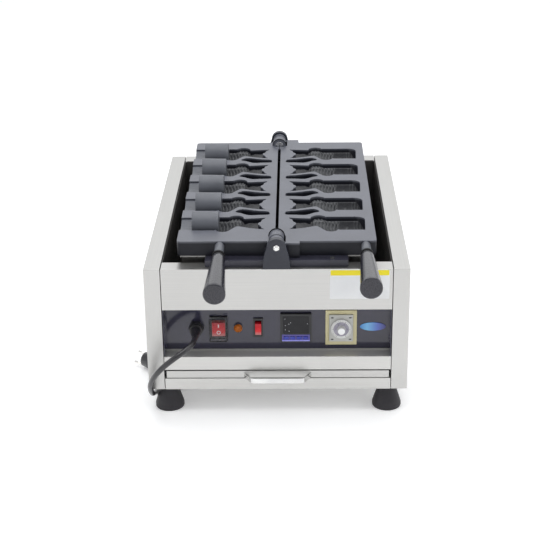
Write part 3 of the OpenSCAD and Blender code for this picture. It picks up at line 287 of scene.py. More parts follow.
FINISHES = {
    "stainless_across": brushed("stainless_across", (8, 1500, 1900)),
    "stainless_along": brushed("stainless_along", (1500, 8, 1900)),
    # A lighter copy of the stainless for the ledges, as painted light where the overhang shades them
    "stainless_ledge_painted_light": brushed("stainless_ledge_painted_light", (8, 1500, 1900), (0.55, 0.546, 0.53), (0.6, 0.595, 0.578),
                               painted_light_on_top=True),
    "zinc_sheet": coated("zinc_sheet", (0.34, 0.35, 0.36), (0.5, 0.51, 0.52), 0.42, 220, 0.1,
                         metallic=1.0, patch=70),
    "bright_steel": coated("bright_steel", (0.66, 0.66, 0.66), (0.78, 0.78, 0.77), 0.18, 500, 0.05,
                           metallic=1.0),
    "dark_steel": coated("dark_steel", (0.03, 0.03, 0.034), (0.045, 0.045, 0.05), 0.35, 500, 0.05),
    "brown_enamel": coated("brown_enamel", (0.055, 0.052, 0.05), (0.08, 0.075, 0.072), 0.5, 260, 0.15),
    "panel_enamel": coated("panel_enamel", (0.021, 0.0195, 0.042), (0.027, 0.0255, 0.052), 0.14, 350, 0.02,
                           coat=0.4, rough_spread=0.03),
    "black_enamel": coated("black_enamel", (0.018, 0.02, 0.032), (0.026, 0.029, 0.043), 0.36, 420, 0.12),
    # A lighter, more violet copy of the black enamel for the crossbars: the violet is their own tone, the
    # extra lightness is painted light on their tops
    "bar_enamel": coated("bar_enamel", (0.027, 0.0265, 0.041), (0.036, 0.0355, 0.053), 0.36, 420, 0.12),
    "coated_casting": coated("coated_casting", CASTING_DARK, CASTING_LIGHT, 0.4, 650, 0.3),
    "carved_casting": carved("carved_casting"),
    # A lighter copy of the casting's coating: painted light on the lit tops of the mouth cores and the
    # handle rods
    "casting_painted_light": coated("casting_painted_light", (0.092, 0.098, 0.115), (0.115, 0.122, 0.142), 0.42, 650, 0.3),
    "heater_sheath": coated("heater_sheath", (0.06, 0.058, 0.048), (0.11, 0.1, 0.08), 0.5, 300, 0.2,
                            metallic=1.0, patch=60),
    "grip_plastic": coated("grip_plastic", (0.014, 0.0138, 0.021), (0.021, 0.0205, 0.031), 0.28, 700, 0.06,
                           coat=0.35, specular=0.45),
    "ferrule_black": coated("ferrule_black", (0.004, 0.004, 0.005), (0.006, 0.006, 0.0075), 0.55, 700, 0.1,
                            specular=0.2),
    "foot_rubber": coated("foot_rubber", (0.015, 0.013, 0.017), (0.023, 0.021, 0.026), 0.55, 500, 0.3),
    "black_plastic": coated("black_plastic", (0.013, 0.013, 0.014), (0.02, 0.02, 0.022), 0.35, 800, 0.1),
    "clear_plastic": clear("clear_plastic", (0.93, 0.93, 0.93)),
    "red_plastic": coated("red_plastic", (0.55, 0.018, 0.016), (0.72, 0.035, 0.028), 0.22, 300, 0.05,
                          coat=0.3),
    "amber_plastic": coated("amber_plastic", (0.3, 0.07, 0.003), (0.42, 0.11, 0.005), 0.4, 200, 0.1,
                            patch=200, specular=0.25),
    "beige_plastic": coated("beige_plastic", (0.62, 0.56, 0.32), (0.69, 0.63, 0.39), 0.35, 500, 0.1),
    "grey_plastic": coated("grey_plastic", (0.5, 0.5, 0.47), (0.58, 0.58, 0.55), 0.4, 500, 0.1),
    "white_plastic": coated("white_plastic", (0.72, 0.72, 0.7), (0.8, 0.8, 0.79), 0.25, 300, 0.05,
                            coat=0.2),
    "blue_plastic": coated("blue_plastic", (0.03, 0.04, 0.36), (0.04, 0.055, 0.45), 0.25, 400, 0.05),
    "cord_rubber": coated("cord_rubber", (0.011, 0.01, 0.013), (0.017, 0.016, 0.02), 0.32, 600, 0.1,
                          coat=0.5),
    "pin_brass": coated("pin_brass", (0.76, 0.74, 0.7), (0.86, 0.85, 0.82), 0.25, 400, 0.05, metallic=1.0),
}
OWN_FINISH = {"mouth_cores": "casting_painted_light", "frame_screws": "dark_steel",
              "left_handle_rod": "casting_painted_light", "right_handle_rod": "casting_painted_light",
              "left_ferrule": "ferrule_black", "right_ferrule": "ferrule_black",
              "front_crossbar": "bar_enamel", "rear_crossbar": "bar_enamel"}
LEDGES = {"front_lower_panel", "base_pan"}
ROCKERS = {"power_rocker", "alarm_rocker"}
RED_PAINTED_HIGHLIGHT = (0.62, 0.24, 0.24)
BRIGHT_RED = (0.75, 0.005, 0.014)
RED_PAINTED_SHADE = (0.5, 0.001, 0.012)
GRAIN_ALONG = {"left_side_wall", "right_side_wall", "left_heater_cover", "right_heater_cover",
               "drawer_tray"}


# Edge radius of each CAD piece in millimetres, from the way that it is made
EDGE_BY_SLOT = {
    "stainless": 0.7, "zinc_sheet": 0.4, "bright_steel": 0.35, "brown_enamel": 0.5, "panel_enamel": 0.5,
    "black_enamel": 1.0, "coated_casting": 0.8, "grip_plastic": 0.9, "foot_rubber": 1.0,
    "black_plastic": 0.5, "clear_plastic": 0.3, "red_plastic": 0.6, "beige_plastic": 0.6,
    "grey_plastic": 0.5, "white_plastic": 0.4, "blue_plastic": 0.4, "cord_rubber": 0.5,
    "amber_plastic": 0.3, "pin_brass": 0.2,
}


def add_bevel(piece, width, sharp_from):
    bevel = piece.modifiers.new("bevel", "BEVEL")
    bevel.width = width * MM
    bevel.segments = 2
    bevel.limit_method = "ANGLE"
    bevel.angle_limit = math.radians(sharp_from)
    return bevel


def soften(piece, width):
    """Rounds the sharp edges of a piece without touching its own mesh."""
    weld = piece.modifiers.new("weld", "WELD")
    weld.merge_threshold = 0.00001
    bevel = add_bevel(piece, width, 35)
    bevel.use_clamp_overlap = True
    bevel.harden_normals = True


def dress_cad_nodes():
    """Gives each CAD piece the finish of its slot and soft edges."""
    slots = {part["node"]: part["material_slot"] for part in frame["record"]["subparts"]}
    for name, piece in frame["nodes"].items():
        slot = slots[name]
        if slot == "stainless":
            finish = FINISHES["stainless_along" if name in GRAIN_ALONG else "stainless_across"]
            if name in LEDGES:
                # Ledges get the lighter stainless copy with painted light
                finish = FINISHES["stainless_ledge_painted_light"]
        elif name in OWN_FINISH:
            finish = FINISHES[OWN_FINISH[name]]
        elif name in ROCKERS:
            # The rockers' red is graded in height: a painted highlight at the lower end, painted shade at
            # the top
            low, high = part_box(name)
            finish = graded(f"{name}_red", "Z", [(low.z, RED_PAINTED_HIGHLIGHT), (high.z, RED_PAINTED_SHADE),
                                                 (low.z + 0.3 * (high.z - low.z), BRIGHT_RED)],
                            roughness=0.4, coat=0)
        elif name.endswith("mould_plate"):
            # Mould plates: casting with painted shade below the parting face
            finish = burnt_below(f"{name}_casting", (piece.matrix_world.inverted() @ at(0, 0, FACE_Z)).z)
        else:
            finish = FINISHES[slot]
        piece.data.materials.clear()
        piece.data.materials.append(finish)
        if slot in EDGE_BY_SLOT:
            soften(piece, EDGE_BY_SLOT[slot])


dress_cad_nodes()


# Small helpers for pieces made here
def bridge(form, first, second):
    """A band of faces between two closed rings of corners."""
    for i in range(len(first)):
        form.faces.new((first[i - 1], first[i], second[i], second[i - 1]))


def from_bmesh(name, form, body, slot, finish=None, smooth=False):
    """A piece of these faces, turned outwards, that rides a body."""
    bmesh.ops.recalc_face_normals(form, faces=form.faces)
    mesh = bpy.data.meshes.new(name)
    form.to_mesh(mesh)
    form.free()
    if smooth:
        mesh.shade_smooth()
    mesh.materials.append(finish or FINISHES[slot])
    piece = bpy.data.objects.new(name, mesh)
    link(piece)
    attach(piece, body)
    return piece


# The mains lead: the same route as the CAD tube, the coil and the stretch to the plug
CORD_R = 4.5
CONTROL_Z = 141.5
RELIEF_END = (-131, -14, CONTROL_Z)
LEAD_ROUTE = [
    (-131, -20, 141.5), (-133, -32, 141), (-138.4, -42.8, 139), (-147, -51.5, 135), (-158, -57, 129),
    (-168.5, -59, 121.5), (-178, -58.5, 113), (-186.5, -56, 103.5), (-194, -51.5, 92.5),
    (-199.5, -45, 80.5), (-203, -37, 68), (-204, -27, 56), (-204, -15, 45), (-204, -1, 35.5),
    (-205, 15, 27.5), (-204, 31, 20), (-199, 47, 13), (-190, 61, 8), (-176.5, 73, 5), (-159, 83, 4.5),
    (-141, 93, 4.5), (-114, 106, 4.5), (-87, 119, 4.5), (-60, 132, 4.5),
]
COIL_CENTRE = (-52, 205)
COIL_R = 62
COIL_STEP = 9.6
COIL_HEADING = 26
COIL_LAYER = 2 * CORD_R + 0.6
PLUG_R = 15
PLUG_TURN = 148
TAIL_BEND_R = 40
TAIL_BEND_Y = 160
TAIL_SAG = 3
TAIL_STEPS = 9


def coil_points(per_turn=36):
    """Two layers of turns that spiral in, climb, and spiral out again."""
    start = COIL_HEADING - 90
    turns = 3 + (180 - start) / 360
    middle = turns / 2
    points = []
    for i in range(round(turns * per_turn) + 1):
        t = turns * i / round(turns * per_turn)
        radius = COIL_R - COIL_STEP * (middle - abs(t - middle))
        climb = min(max((t - middle + 0.25) * 2, 0), 1)
        height = CORD_R + COIL_LAYER * climb * climb * (3 - 2 * climb)
        angle = math.radians(start + 360 * t)
        points.append((COIL_CENTRE[0] + radius * math.cos(angle),
                       COIL_CENTRE[1] + radius * math.sin(angle), height))
    return points


def smooth_through(points, steps):
    """Points on a smooth curve through the given ones."""
    known = [Vector(p) for p in points]
    known = [2 * known[0] - known[1]] + known + [2 * known[-1] - known[-2]]
    result = []
    for a, b, c, d in zip(known, known[1:], known[2:], known[3:]):
        for i in range(steps):
            t = i / steps
            result.append(0.5 * (2 * b + (c - a) * t + (2 * a - 5 * b + 4 * c - d) * t * t
                                 + (3 * b - a - 3 * c + d) * t * t * t))
    return result + [known[-2]]


def tail_points(start):
    """One round bend with a little sag, from the coil to the back of the plug."""
    points = []
    for i in range(TAIL_STEPS + 1):
        t = i / TAIL_STEPS
        angle = math.radians((PLUG_TURN - 270) * t)
        height = start.z + (PLUG_R - start.z) * t - TAIL_SAG * math.sin(math.pi * t) ** 2
        points.append(Vector((start.x - TAIL_BEND_R + TAIL_BEND_R * math.cos(angle),
                              TAIL_BEND_Y + TAIL_BEND_R * math.sin(angle), height)))
    plug_way = Vector((math.cos(math.radians(PLUG_TURN)), math.sin(math.radians(PLUG_TURN)), 0))
    return points + [points[-1] + 2 * CORD_R * plug_way]


def add_cord():
    coil = coil_points()
    heading = math.radians(COIL_HEADING)
    way_in = 2 * CORD_R * Vector((math.cos(heading), math.sin(heading), 0))
    way_out = 2 * CORD_R * Vector((0, -1, 0))
    coil_in = Vector(coil[0]) - way_in
    coil_out = Vector(coil[-1]) + way_out
    tail_start = coil_out + way_out
    lead = smooth_through([RELIEF_END, *LEAD_ROUTE, coil_in - way_in, coil_in], 4)
    tail = smooth_through([coil_out, tail_start, *tail_points(tail_start)], 4)
    route = lead + [Vector(p) for p in coil] + tail
    data = bpy.data.curves.new("mains_lead", "CURVE")
    data.dimensions = "3D"
    data.bevel_depth = CORD_R * MM
    data.bevel_resolution = 5
    data.use_fill_caps = True
    line = data.splines.new("POLY")
    line.points.add(len(route) - 1)
    for point, place in zip(line.points, route):
        point.co = (*at(*place), 1)
    line.use_smooth = True
    data.materials.append(FINISHES["cord_rubber"])
    cord = bpy.data.objects.new("mains_lead", data)
    link(cord)
    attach(cord, HOUSING)
    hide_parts("mains_cord", "cord_coil")


add_cord()


# Relief in the moulds: scales, tail rays, gill and lips on a skin that lies on each cavity's floor
HEAD_R = 29
CORE_START = 95
TAIL_X = 20
BODY_RISE = 18
FIN_DEPTH = 8
FIRST_MOULD_Y = 108.7
MOULD_PITCH = 90.4
MOULDS = 5
SKIN_LIFT = 0.35
SKIN_START = 19.5
SKIN_STEP = 0.7
TAIL_LOBES = ((TAIL_X - 4.5, 12.5), (TAIL_X - 4.5, -15.5), (TAIL_X + 1, -1.5))
LOBE_R = 10
SCALE_PITCH_U = 5.6
SCALE_PITCH_V = 10.4
SCALE_SHIFT = 0.5
HEAD_SHADE = 0.24
SCALES_START, SCALES_END = 57, 104
GILL_MIDDLE_U, GILL_R = 131, 27
LIPS_U = (127, 132, 137)
EYE = (118, 9)
SIDE_FIN = (104, -8)
SKIN_INSET = 0.35
SKIN_ROWS = 90
SLOPE_STEP = 0.4
SKIN_ENDS = (("left", -1, 137.6), ("right", 1, 142.2))


# In a mould u runs from the hinge line outwards and v along the row, from the fish's middle
def arch(u, centre, radius):
    return np.sqrt(np.clip(radius ** 2 - (u - centre) ** 2, 0, None))


def outline_upper(u):
    upper = np.interp(u, [12, 26, 44, 53, 68, 130], [28, 24.5, 22.5, 21.5, 29, 29])
    hump = 23.5 + arch(u, 68, 13)
    upper = np.where(abs(u - 68) < 13, np.maximum(upper, hump), upper)
    return np.where(u > 130, 15 + arch(u, 130, 14), upper)


def outline_lower(u):
    lower = np.interp(u, [12, 30.9, 44.6, 59.4, 63, 66, 70.6, 76.1, 88, 98.7, 102, 142.5],
                      [-27, -24.3, -20.5, -13.8, -12.6, -13.4, -20.2, -29.4, -30, -28.2, -30, -30])
    fin = -25.8 - arch(u, 87.5, 11.5)
    return np.where(abs(u - 87.5) < 11.5, np.minimum(lower, fin), lower)


def past_tail(u, v):
    """Distance from the land that ends the tail, below zero on that land."""
    edge = np.interp(v, [-40, -26.5, -10.5, 9.5, 21, 29, 40], [0, 20, 27.6, 26.3, 21, 18.3, 0])
    lobes = [np.hypot(u - cu, v - cv) - LOBE_R for cu, cv in TAIL_LOBES]
    return np.minimum.reduce([u - edge, *lobes])


def cavity_floor(u, v):
    """Depth of a cavity below the parting face."""
    tilt = math.atan(BODY_RISE / (CORE_START - TAIL_X))
    half = -np.sqrt(np.clip(HEAD_R ** 2 - v ** 2, 0, None))
    inside = abs(v) < HEAD_R
    straight = np.where(inside & (u >= CORE_START), half, 0)
    tilted = np.where(inside & (u < CORE_START + 2),
                      (half + (CORE_START - u) * math.sin(tilt)) / math.cos(tilt), 0)
    return np.minimum(np.minimum(straight, tilted), -FIN_DEPTH)


def fade(x, start, end):
    t = np.clip((x - start) / (end - start), 0, 1)
    return t * t * (3 - 2 * t)


def scales(u, v):
    """Staggered round scales whose free edges point to the tail."""
    height = np.zeros_like(u)
    row = np.floor(v / SCALE_PITCH_V)
    for row_step in (0, 1):
        shift = ((row + row_step) * SCALE_SHIFT) % 1
        cell = np.floor(u / SCALE_PITCH_U - shift)
        away_v = v / SCALE_PITCH_V - row - row_step
        for cell_step in (0, 1):
            away_u = u / SCALE_PITCH_U - cell - cell_step - shift
            rise = 0.3 + 0.7 * np.clip(0.5 - away_u, 0, 1)
            height = np.maximum(height, rise * (1 - fade(np.hypot(away_u, away_v), 0.5, 0.64)))
    return height


def ridge(distance, width):
    return np.exp(-(distance / width) ** 2)


def scale_area(u):
    return fade(u, SCALES_START, SCALES_START + 3) * (1 - fade(u, SCALES_END - 3, SCALES_END))


def relief(u, v):
    """Height of the carving above the floor of the cavity."""
    tail_angle = np.arctan2(v, 64 - u)
    rays = 0.35 * (0.5 + 0.5 * np.cos(tail_angle * 22)) * (1 - fade(u, 48, 56))
    body = 2.3 * scales(u, v) * scale_area(u)
    gill = 1.5 * ridge(np.hypot(u - GILL_MIDDLE_U, v) - GILL_R, 1.0) * (1 - fade(u, 112, 118))
    lips = sum(0.8 * ridge(u - place, 0.8) for place in LIPS_U)
    from_eye = np.hypot(u - EYE[0], v - EYE[1])
    eye = 1.2 * ridge(from_eye - 3.8, 0.8) + 1.1 * ridge(from_eye, 1.6)
    fin_away = np.hypot(u - SIDE_FIN[0], v - SIDE_FIN[1])
    fin_angle = np.arctan2(v - SIDE_FIN[1], SIDE_FIN[0] - u)
    fin_area = (1 - fade(fin_away, 13, 14.5)) * (1 - fade(abs(fin_angle), 0.55, 0.7))
    fin_area = fin_area * fade(fin_away, 2, 4)
    fin = fin_area * (1.6 + 0.8 * np.cos(fin_angle * 26))
    return np.maximum(body * (1 - fin_area), fin) + gill + lips + eye + rays


def skin_mesh(name, side, end):
    """A fish's inner face on one plate; side is -1 on the left and 1 on the right."""
    columns = np.arange(SKIN_START, end, SKIN_STEP)
    rows = np.linspace(0, 1, SKIN_ROWS)
    u, share = np.meshgrid(columns, rows, indexing="ij")
    low = outline_lower(u) + SKIN_INSET
    high = outline_upper(u) - SKIN_INSET
    v = low + share * (high - low)
    floor = cavity_floor(u, v)
    slope_u = (cavity_floor(u + SLOPE_STEP, v) - cavity_floor(u - SLOPE_STEP, v)) / (2 * SLOPE_STEP)
    slope_v = (cavity_floor(u, v + SLOPE_STEP) - cavity_floor(u, v - SLOPE_STEP)) / (2 * SLOPE_STEP)
    stretch = np.sqrt(1 + slope_u ** 2 + slope_v ** 2)
    room = past_tail(u, v)
    near_wall = fade(np.minimum(np.minimum(v - low, high - v), room), 0, 2.5)
    emerge = fade(room, 0.4, 1.6) * 1.4 - 0.4
    lift = SKIN_LIFT * emerge + relief(u, v) * near_wall
    points = np.stack([side * (u - lift * slope_u / stretch), v - lift * slope_v / stretch,
                       floor + lift / stretch], axis=-1) * MM
    count_u, count_v = u.shape
    index = np.arange(count_u * count_v).reshape(count_u, count_v)
    quads = np.stack([index[:-1, :-1], index[1:, :-1], index[1:, 1:], index[:-1, 1:]], axis=-1)
    quads = quads.reshape(-1, 4)
    if side < 0:
        quads = quads[:, ::-1]
    kept = (room > 0.3).reshape(-1)[quads].all(axis=1)
    used, corners = np.unique(quads[kept], return_inverse=True)
    mesh = bpy.data.meshes.new(name)
    mesh.from_pydata(points.reshape(-1, 3)[used].tolist(), [], corners.reshape(-1, 4).tolist())
    carving = mesh.attributes.new("carved", "FLOAT", "POINT")
    # Painted shade and highlight on the carving: low in the grooves and over the tail, higher on the ridges
    # and over the smooth head
    shade = np.clip(relief(u, v) / 2 + HEAD_SHADE * fade(u, SCALES_END - 3, SCALES_END), 0, 1)
    carving.data.foreach_set("value", shade.reshape(-1)[used].astype(np.float32))
    mesh.shade_smooth()
    mesh.materials.append(FINISHES["carved_casting"])
    return mesh


def add_relief():
    for label, side, end in SKIN_ENDS:
        mesh = skin_mesh(f"{label}_fish_relief", side, end)
        for i in range(MOULDS):
            piece = bpy.data.objects.new(f"{label}_fish_relief_{i + 1}", mesh)
            piece.location = at(0, FIRST_MOULD_Y + i * MOULD_PITCH, FACE_Z)
            link(piece)
            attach(piece, f"{label}_plate")


add_relief()


# Hinge brackets: cast cheeks whose bowed sides run up to a round head with the pin's hole
BRACKET_HEAD_R = 15.3
PIN_HOLE_R = 5.06


def bracket_reach(angle, half_width, rise):
    """Distance from the pin's axis to the cheek's outline; the angle is measured from straight up."""
    if abs(angle) <= math.pi / 2:
        return BRACKET_HEAD_R
    way_x, way_z = math.sin(abs(angle)), math.cos(angle)
    bow = half_width - BRACKET_HEAD_R
    bow_r = (rise ** 2 + bow ** 2) / (2 * bow)
    centre_x = half_width - bow_r
    along = way_x * centre_x - way_z * rise
    to_side = along + math.sqrt(along ** 2 - centre_x ** 2 - rise ** 2 + bow_r ** 2)
    return min(to_side, -rise / way_z)


def add_bracket(node):
    low, high = (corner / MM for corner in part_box(node))
    half_width = (high.x - low.x) / 2
    rise = high.z - low.z - BRACKET_HEAD_R
    corner = math.pi - math.atan2(half_width, rise)
    angles = sorted([math.radians(a) for a in range(-179, 181, 3)] + [-corner, corner])
    form = bmesh.new()
    rings = []
    for y in (low.y, high.y):
        for reaches in ([bracket_reach(a, half_width, rise) for a in angles], [PIN_HOLE_R] * len(angles)):
            places = [(r * math.sin(a), y, low.z + rise + r * math.cos(a)) for r, a in zip(reaches, angles)]
            rings.append([form.verts.new(MM * Vector(place)) for place in places])
    outer_front, inner_front, outer_back, inner_back = rings
    bridge(form, outer_front, inner_front)
    bridge(form, inner_front, inner_back)
    bridge(form, inner_back, outer_back)
    bridge(form, outer_back, outer_front)
    piece = from_bmesh(f"{node}_bowed", form, HOUSING, "black_enamel")
    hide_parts(node)
    soften(piece, 0.8)


add_bracket("front_hinge_bracket")
add_bracket("rear_hinge_bracket")


# Black rings on the knuckles as painted shadow gaps, where the two plates' rings meet and where the inner
# one ends
AXIS_Z = 289.5
KNUCKLE_R = 12
SEAM_SHADOW_RINGS = {"front": 28.15, "rear": 545.15}
END_SHADOW_RINGS = {"front": 52.6, "rear": 520.4}


def add_knuckle_ring(name, y, radius, thickness, body):
    form = bmesh.new()
    around, across = 60, 12
    rings = []
    for i in range(around):
        turn = 2 * math.pi * i / around
        ring = []
        for j in range(across):
            roll = 2 * math.pi * j / across
            reach = radius + thickness * math.cos(roll)
            ring.append(form.verts.new(at(reach * math.sin(turn), y + thickness * math.sin(roll),
                                          AXIS_Z + reach * math.cos(turn))))
        rings.append(ring)
    for i in range(around):
        bridge(form, rings[i - 1], rings[i])
    from_bmesh(name, form, body, "black_plastic", FINISHES["ferrule_black"], smooth=True)


for end in ("front", "rear"):
    add_knuckle_ring(f"{end}_seam_shadow_ring", SEAM_SHADOW_RINGS[end], KNUCKLE_R - 0.1, 0.6, "left_plate")
    add_knuckle_ring(f"{end}_end_shadow_ring", END_SHADOW_RINGS[end], KNUCKLE_R + 0.3, 1.1, "left_plate")


# Crumb drawer: an open tray whose top edge lies 2.4 mm below the apron, as in the photograph
TRAY_X = 180.5
TRAY_FRONT, TRAY_BACK = 1.6, 501
TRAY_LOW, TRAY_HIGH = 62, 74.8
TRAY_WALL = 1.2


def add_drawer():
    form = bmesh.new()
    rings = []
    for inset, z in ((0, TRAY_LOW), (0, TRAY_HIGH), (TRAY_WALL, TRAY_HIGH),
                     (TRAY_WALL, TRAY_LOW + TRAY_WALL)):
        x, front, back = TRAY_X - inset, TRAY_FRONT + inset, TRAY_BACK - inset
        corners = ((-x, front), (x, front), (x, back), (-x, back))
        rings.append([form.verts.new(at(*corner, z)) for corner in corners])
    for lower, upper in zip(rings, rings[1:]):
        bridge(form, lower, upper)
    form.faces.new(rings[0])
    form.faces.new(rings[-1])
    piece = from_bmesh("drawer_shell", form, "drawer", "stainless", FINISHES["stainless_across"])
    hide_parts("drawer_tray")
    soften(piece, 0.5)


add_drawer()


# Flat pieces on the front
def rounded_outline(width, height, radius, steps=6):
    points = []
    for cx, cz, start in ((1, 1, 0), (-1, 1, 90), (-1, -1, 180), (1, -1, 270)):
        for i in range(steps + 1):
            angle = math.radians(start + 90 * i / steps)
            points.append((cx * (width / 2 - radius) + radius * math.cos(angle),
                           cz * (height / 2 - radius) + radius * math.sin(angle)))
    return points


def oval_outline(width, height, steps=48):
    return [(width / 2 * math.cos(2 * math.pi * i / steps), height / 2 * math.sin(2 * math.pi * i / steps))
            for i in range(steps)]


def plate_on_front(name, outline, centre, thickness, body, slot, finish=None, edge=0.1):
    """A thin plate that stands on a front face; centre is on that face."""
    form = bmesh.new()
    x, y, z = centre
    back = [form.verts.new(at(x + px, y, z + pz)) for px, pz in outline]
    front = [form.verts.new(at(x + px, y - thickness, z + pz)) for px, pz in outline]
    form.faces.new(back[::-1])
    form.faces.new(front)
    bridge(form, back, front)
    piece = from_bmesh(name, form, body, slot, finish)
    if edge:
        add_bevel(piece, edge, 50)
    return piece


def ring_on_front(name, centre, inner, outer, thickness, body, slot, finish, steps=48):
    form = bmesh.new()
    x, y, z = centre
    rings = [[form.verts.new(at(x + r * math.cos(2 * math.pi * i / steps), depth,
                                z + r * math.sin(2 * math.pi * i / steps))) for i in range(steps)]
             for r, depth in ((inner, y), (outer, y), (outer, y - thickness), (inner, y - thickness))]
    for k, ring in enumerate(rings):
        bridge(form, rings[k - 1], ring)
    return from_bmesh(name, form, body, slot, finish)


def add_label():
    paper = coated("label_paper", (0.78, 0.79, 0.8), (0.84, 0.85, 0.86), 0.35, 400, 0.05)
    band = coated("label_band", (0.88, 0.74, 0.008), (0.93, 0.79, 0.01), 0.35, 400, 0.05)
    plate_on_front("blank_label", rounded_outline(94, 50.5, 1.5), (130.8, 0, 228), 0.2, HOUSING,
                   "white_plastic", paper, 0.05)
    plate_on_front("blank_label_band", rounded_outline(92, 9, 0.6), (130.8, -0.2, 247.6), 0.1, HOUSING,
                   "white_plastic", band, 0.03)


def add_badge():
    blue = graded("badge_blue", "X", [(0.1334, (0.03, 0.22, 0.62)), (0.1754, (0.03, 0.02, 0.2)),
                                      (0.145, (0.16, 0.5, 0.85)), (0.162, (0.09, 0.16, 0.62))], coat=0.6)
    plate_on_front("blank_badge", oval_outline(42, 15), (154.4, 26, 142), 1.1, HOUSING, "blue_plastic",
                   blue, 0.4)


def bar_outline(low_x, high_x, low_z, high_z):
    return [(low_x, low_z), (high_x, low_z), (high_x, high_z), (low_x, high_z)]


def add_panel_trim():
    """Bright folded edge of the sheet at the foot and the right end of the control panel."""
    plate_on_front("panel_foot_edge", bar_outline(-182.6, 181.4, 0, 2), (0, 25.8, 101.1), 1.0, HOUSING,
                   "stainless", FINISHES["stainless_across"], 0.2)
    plate_on_front("panel_side_edge", bar_outline(0, 1.1, 0, 82.6), (181.5, 25.8, 101.1), 1.0, HOUSING,
                   "stainless", FINISHES["stainless_across"], 0.2)


add_label()
add_badge()
add_panel_trim()


# Power switch: plain on and off marks on the rocker
POWER_X = -95
ROCKER_CREASE = (21.5, -1.04)
ROCKER_SLOPE = 0.292
MARK_T = 0.12


def add_rocker_marks():
    white = coated("mark_white", (0.85, 0.85, 0.85), (0.92, 0.92, 0.92), 0.4, 300, 0.02)
    crease_y, crease_z = ROCKER_CREASE
    form = bmesh.new()
    rings = []
    for lift in (0, MARK_T):
        places = [(POWER_X + x, crease_y - ROCKER_SLOPE * (z - crease_z) - lift, CONTROL_Z + z)
                  for x, z in bar_outline(-0.8, 0.8, 1.8, 8.4)]
        rings.append([form.verts.new(at(*place)) for place in places])
    form.faces.new(rings[0])
    form.faces.new(rings[1])
    bridge(form, *rings)
    from_bmesh("power_mark_on", form, "power_rocker", "white_plastic", white)
    ring_on_front("power_mark_off", (POWER_X, crease_y, CONTROL_Z - 7.4), 2.1, 3.3, MARK_T,
                  "power_rocker", "white_plastic", white, 32)


add_rocker_marks()


# Temperature controller: dark window, unlit figures, small lamps, and a blue strip with four keys
CONTROLLER_X = 30
BEZEL_Y = 20.5
KEY_PITCH = 10.5
KEY_HOLE_HALF = 4.4
STRIP_HALF = 22.5
STRIP_LOW, STRIP_HIGH = 118.6, 130.4
KEY_HOLE_LOW, KEY_HOLE_HIGH = 121.4, 127.6
LAMP_PLACES = ((-17.5, 158), (-17, 146.5), (-11.5, 149), (-8.5, 151.5), (18.5, 149.5), (-17, 139),
               (-11, 136.5))
SEGMENTS = {"top": (0, 1, 1), "middle": (0, 0, 1), "bottom": (0, -1, 1), "upper_left": (-1, 0.5, 0),
            "upper_right": (1, 0.5, 0), "lower_left": (-1, -0.5, 0), "lower_right": (1, -0.5, 0)}


def add_figures(name, centre_x, centre_z, size, finish):
    """Four unlit seven-bar figures."""
    form = bmesh.new()
    for digit in range(4):
        digit_x = centre_x + (digit - 1.5) * size * 1.05
        for across, up, flat in SEGMENTS.values():
            half_w, half_h = (0.27 * size, 0.05 * size) if flat else (0.05 * size, 0.34 * size)
            x = digit_x + across * 0.33 * size
            z = centre_z + up * 0.78 * size
            corners = bar_outline(x - half_w, x + half_w, z - half_h, z + half_h)
            form.faces.new([form.verts.new(at(cx, BEZEL_Y + 0.16, cz)) for cx, cz in corners])
    from_bmesh(name, form, HOUSING, "black_plastic", finish)


def add_controller_face():
    window = coated("window_glass", (0.01, 0.01, 0.013), (0.014, 0.014, 0.017), 0.12, 200, 0.02,
                    rough_spread=0.03, specular=0.3)
    figures = coated("unlit_figures", (0.017, 0.017, 0.02), (0.021, 0.021, 0.024), 0.2, 200, 0.02,
                     specular=0.3)
    lamp = coated("small_lamps", (0.75, 0.76, 0.8), (0.82, 0.83, 0.87), 0.3, 200, 0.02)
    plate_on_front("controller_window", rounded_outline(41.8, 29.8, 0.5),
                   (CONTROLLER_X, BEZEL_Y + 1, 147.5), 0.8, HOUSING, "black_plastic", window, 0.15)
    add_figures("upper_figures", CONTROLLER_X + 2, 155.5, 6.4, figures)
    add_figures("lower_figures", CONTROLLER_X + 2, 141.5, 5.2, figures)
    for i, (x, z) in enumerate(LAMP_PLACES):
        plate_on_front(f"controller_lamp_{i + 1}", oval_outline(1.3, 1.0, 12),
                       (CONTROLLER_X + x, BEZEL_Y + 0.2, z), 0.12, HOUSING, "white_plastic", lamp, 0)
    strip = graded("blue_strip", "Z", [(0.1186, (0.42, 0.42, 0.95)), (0.1304, (0.07, 0.055, 0.3)),
                                       (0.1205, (0.2, 0.19, 0.75)), (0.1215, (0.08, 0.06, 0.38))])
    form = bmesh.new()
    left, right = CONTROLLER_X - STRIP_HALF, CONTROLLER_X + STRIP_HALF
    keys = [CONTROLLER_X + (i - 1.5) * KEY_PITCH for i in range(4)]
    spans = [(left, right, STRIP_LOW, KEY_HOLE_LOW), (left, right, KEY_HOLE_HIGH, STRIP_HIGH)]
    edges = [left] + [key + s * KEY_HOLE_HALF for key in keys for s in (-1, 1)] + [right]
    spans += [(edges[i], edges[i + 1], KEY_HOLE_LOW, KEY_HOLE_HIGH) for i in range(0, len(edges), 2)]
    for x0, x1, z0, z1 in spans:
        corners = bmesh.ops.create_cube(form, size=1)["verts"]
        for vertex in corners:
            vertex.co = at((x0 + x1) / 2 + vertex.co.x * (x1 - x0), BEZEL_Y - 0.1 + vertex.co.y * 0.2,
                           (z0 + z1) / 2 + vertex.co.z * (z1 - z0))
    from_bmesh("controller_strip", form, HOUSING, "blue_plastic", strip)


add_controller_face()


# Timer: screw slots painted as flat dark ovals of shade in the face, and a dial with a shaded ring,
# graduations and plain numbers
TIMER_X = 103
TIMER_FACE_Y = 20
DIAL_FACE_Y = 16.6
KNOB_FACE_Y = 7.6
TICK_OUTER = 15.6
NUMBER_R = 9.4
DIAL_START = -150


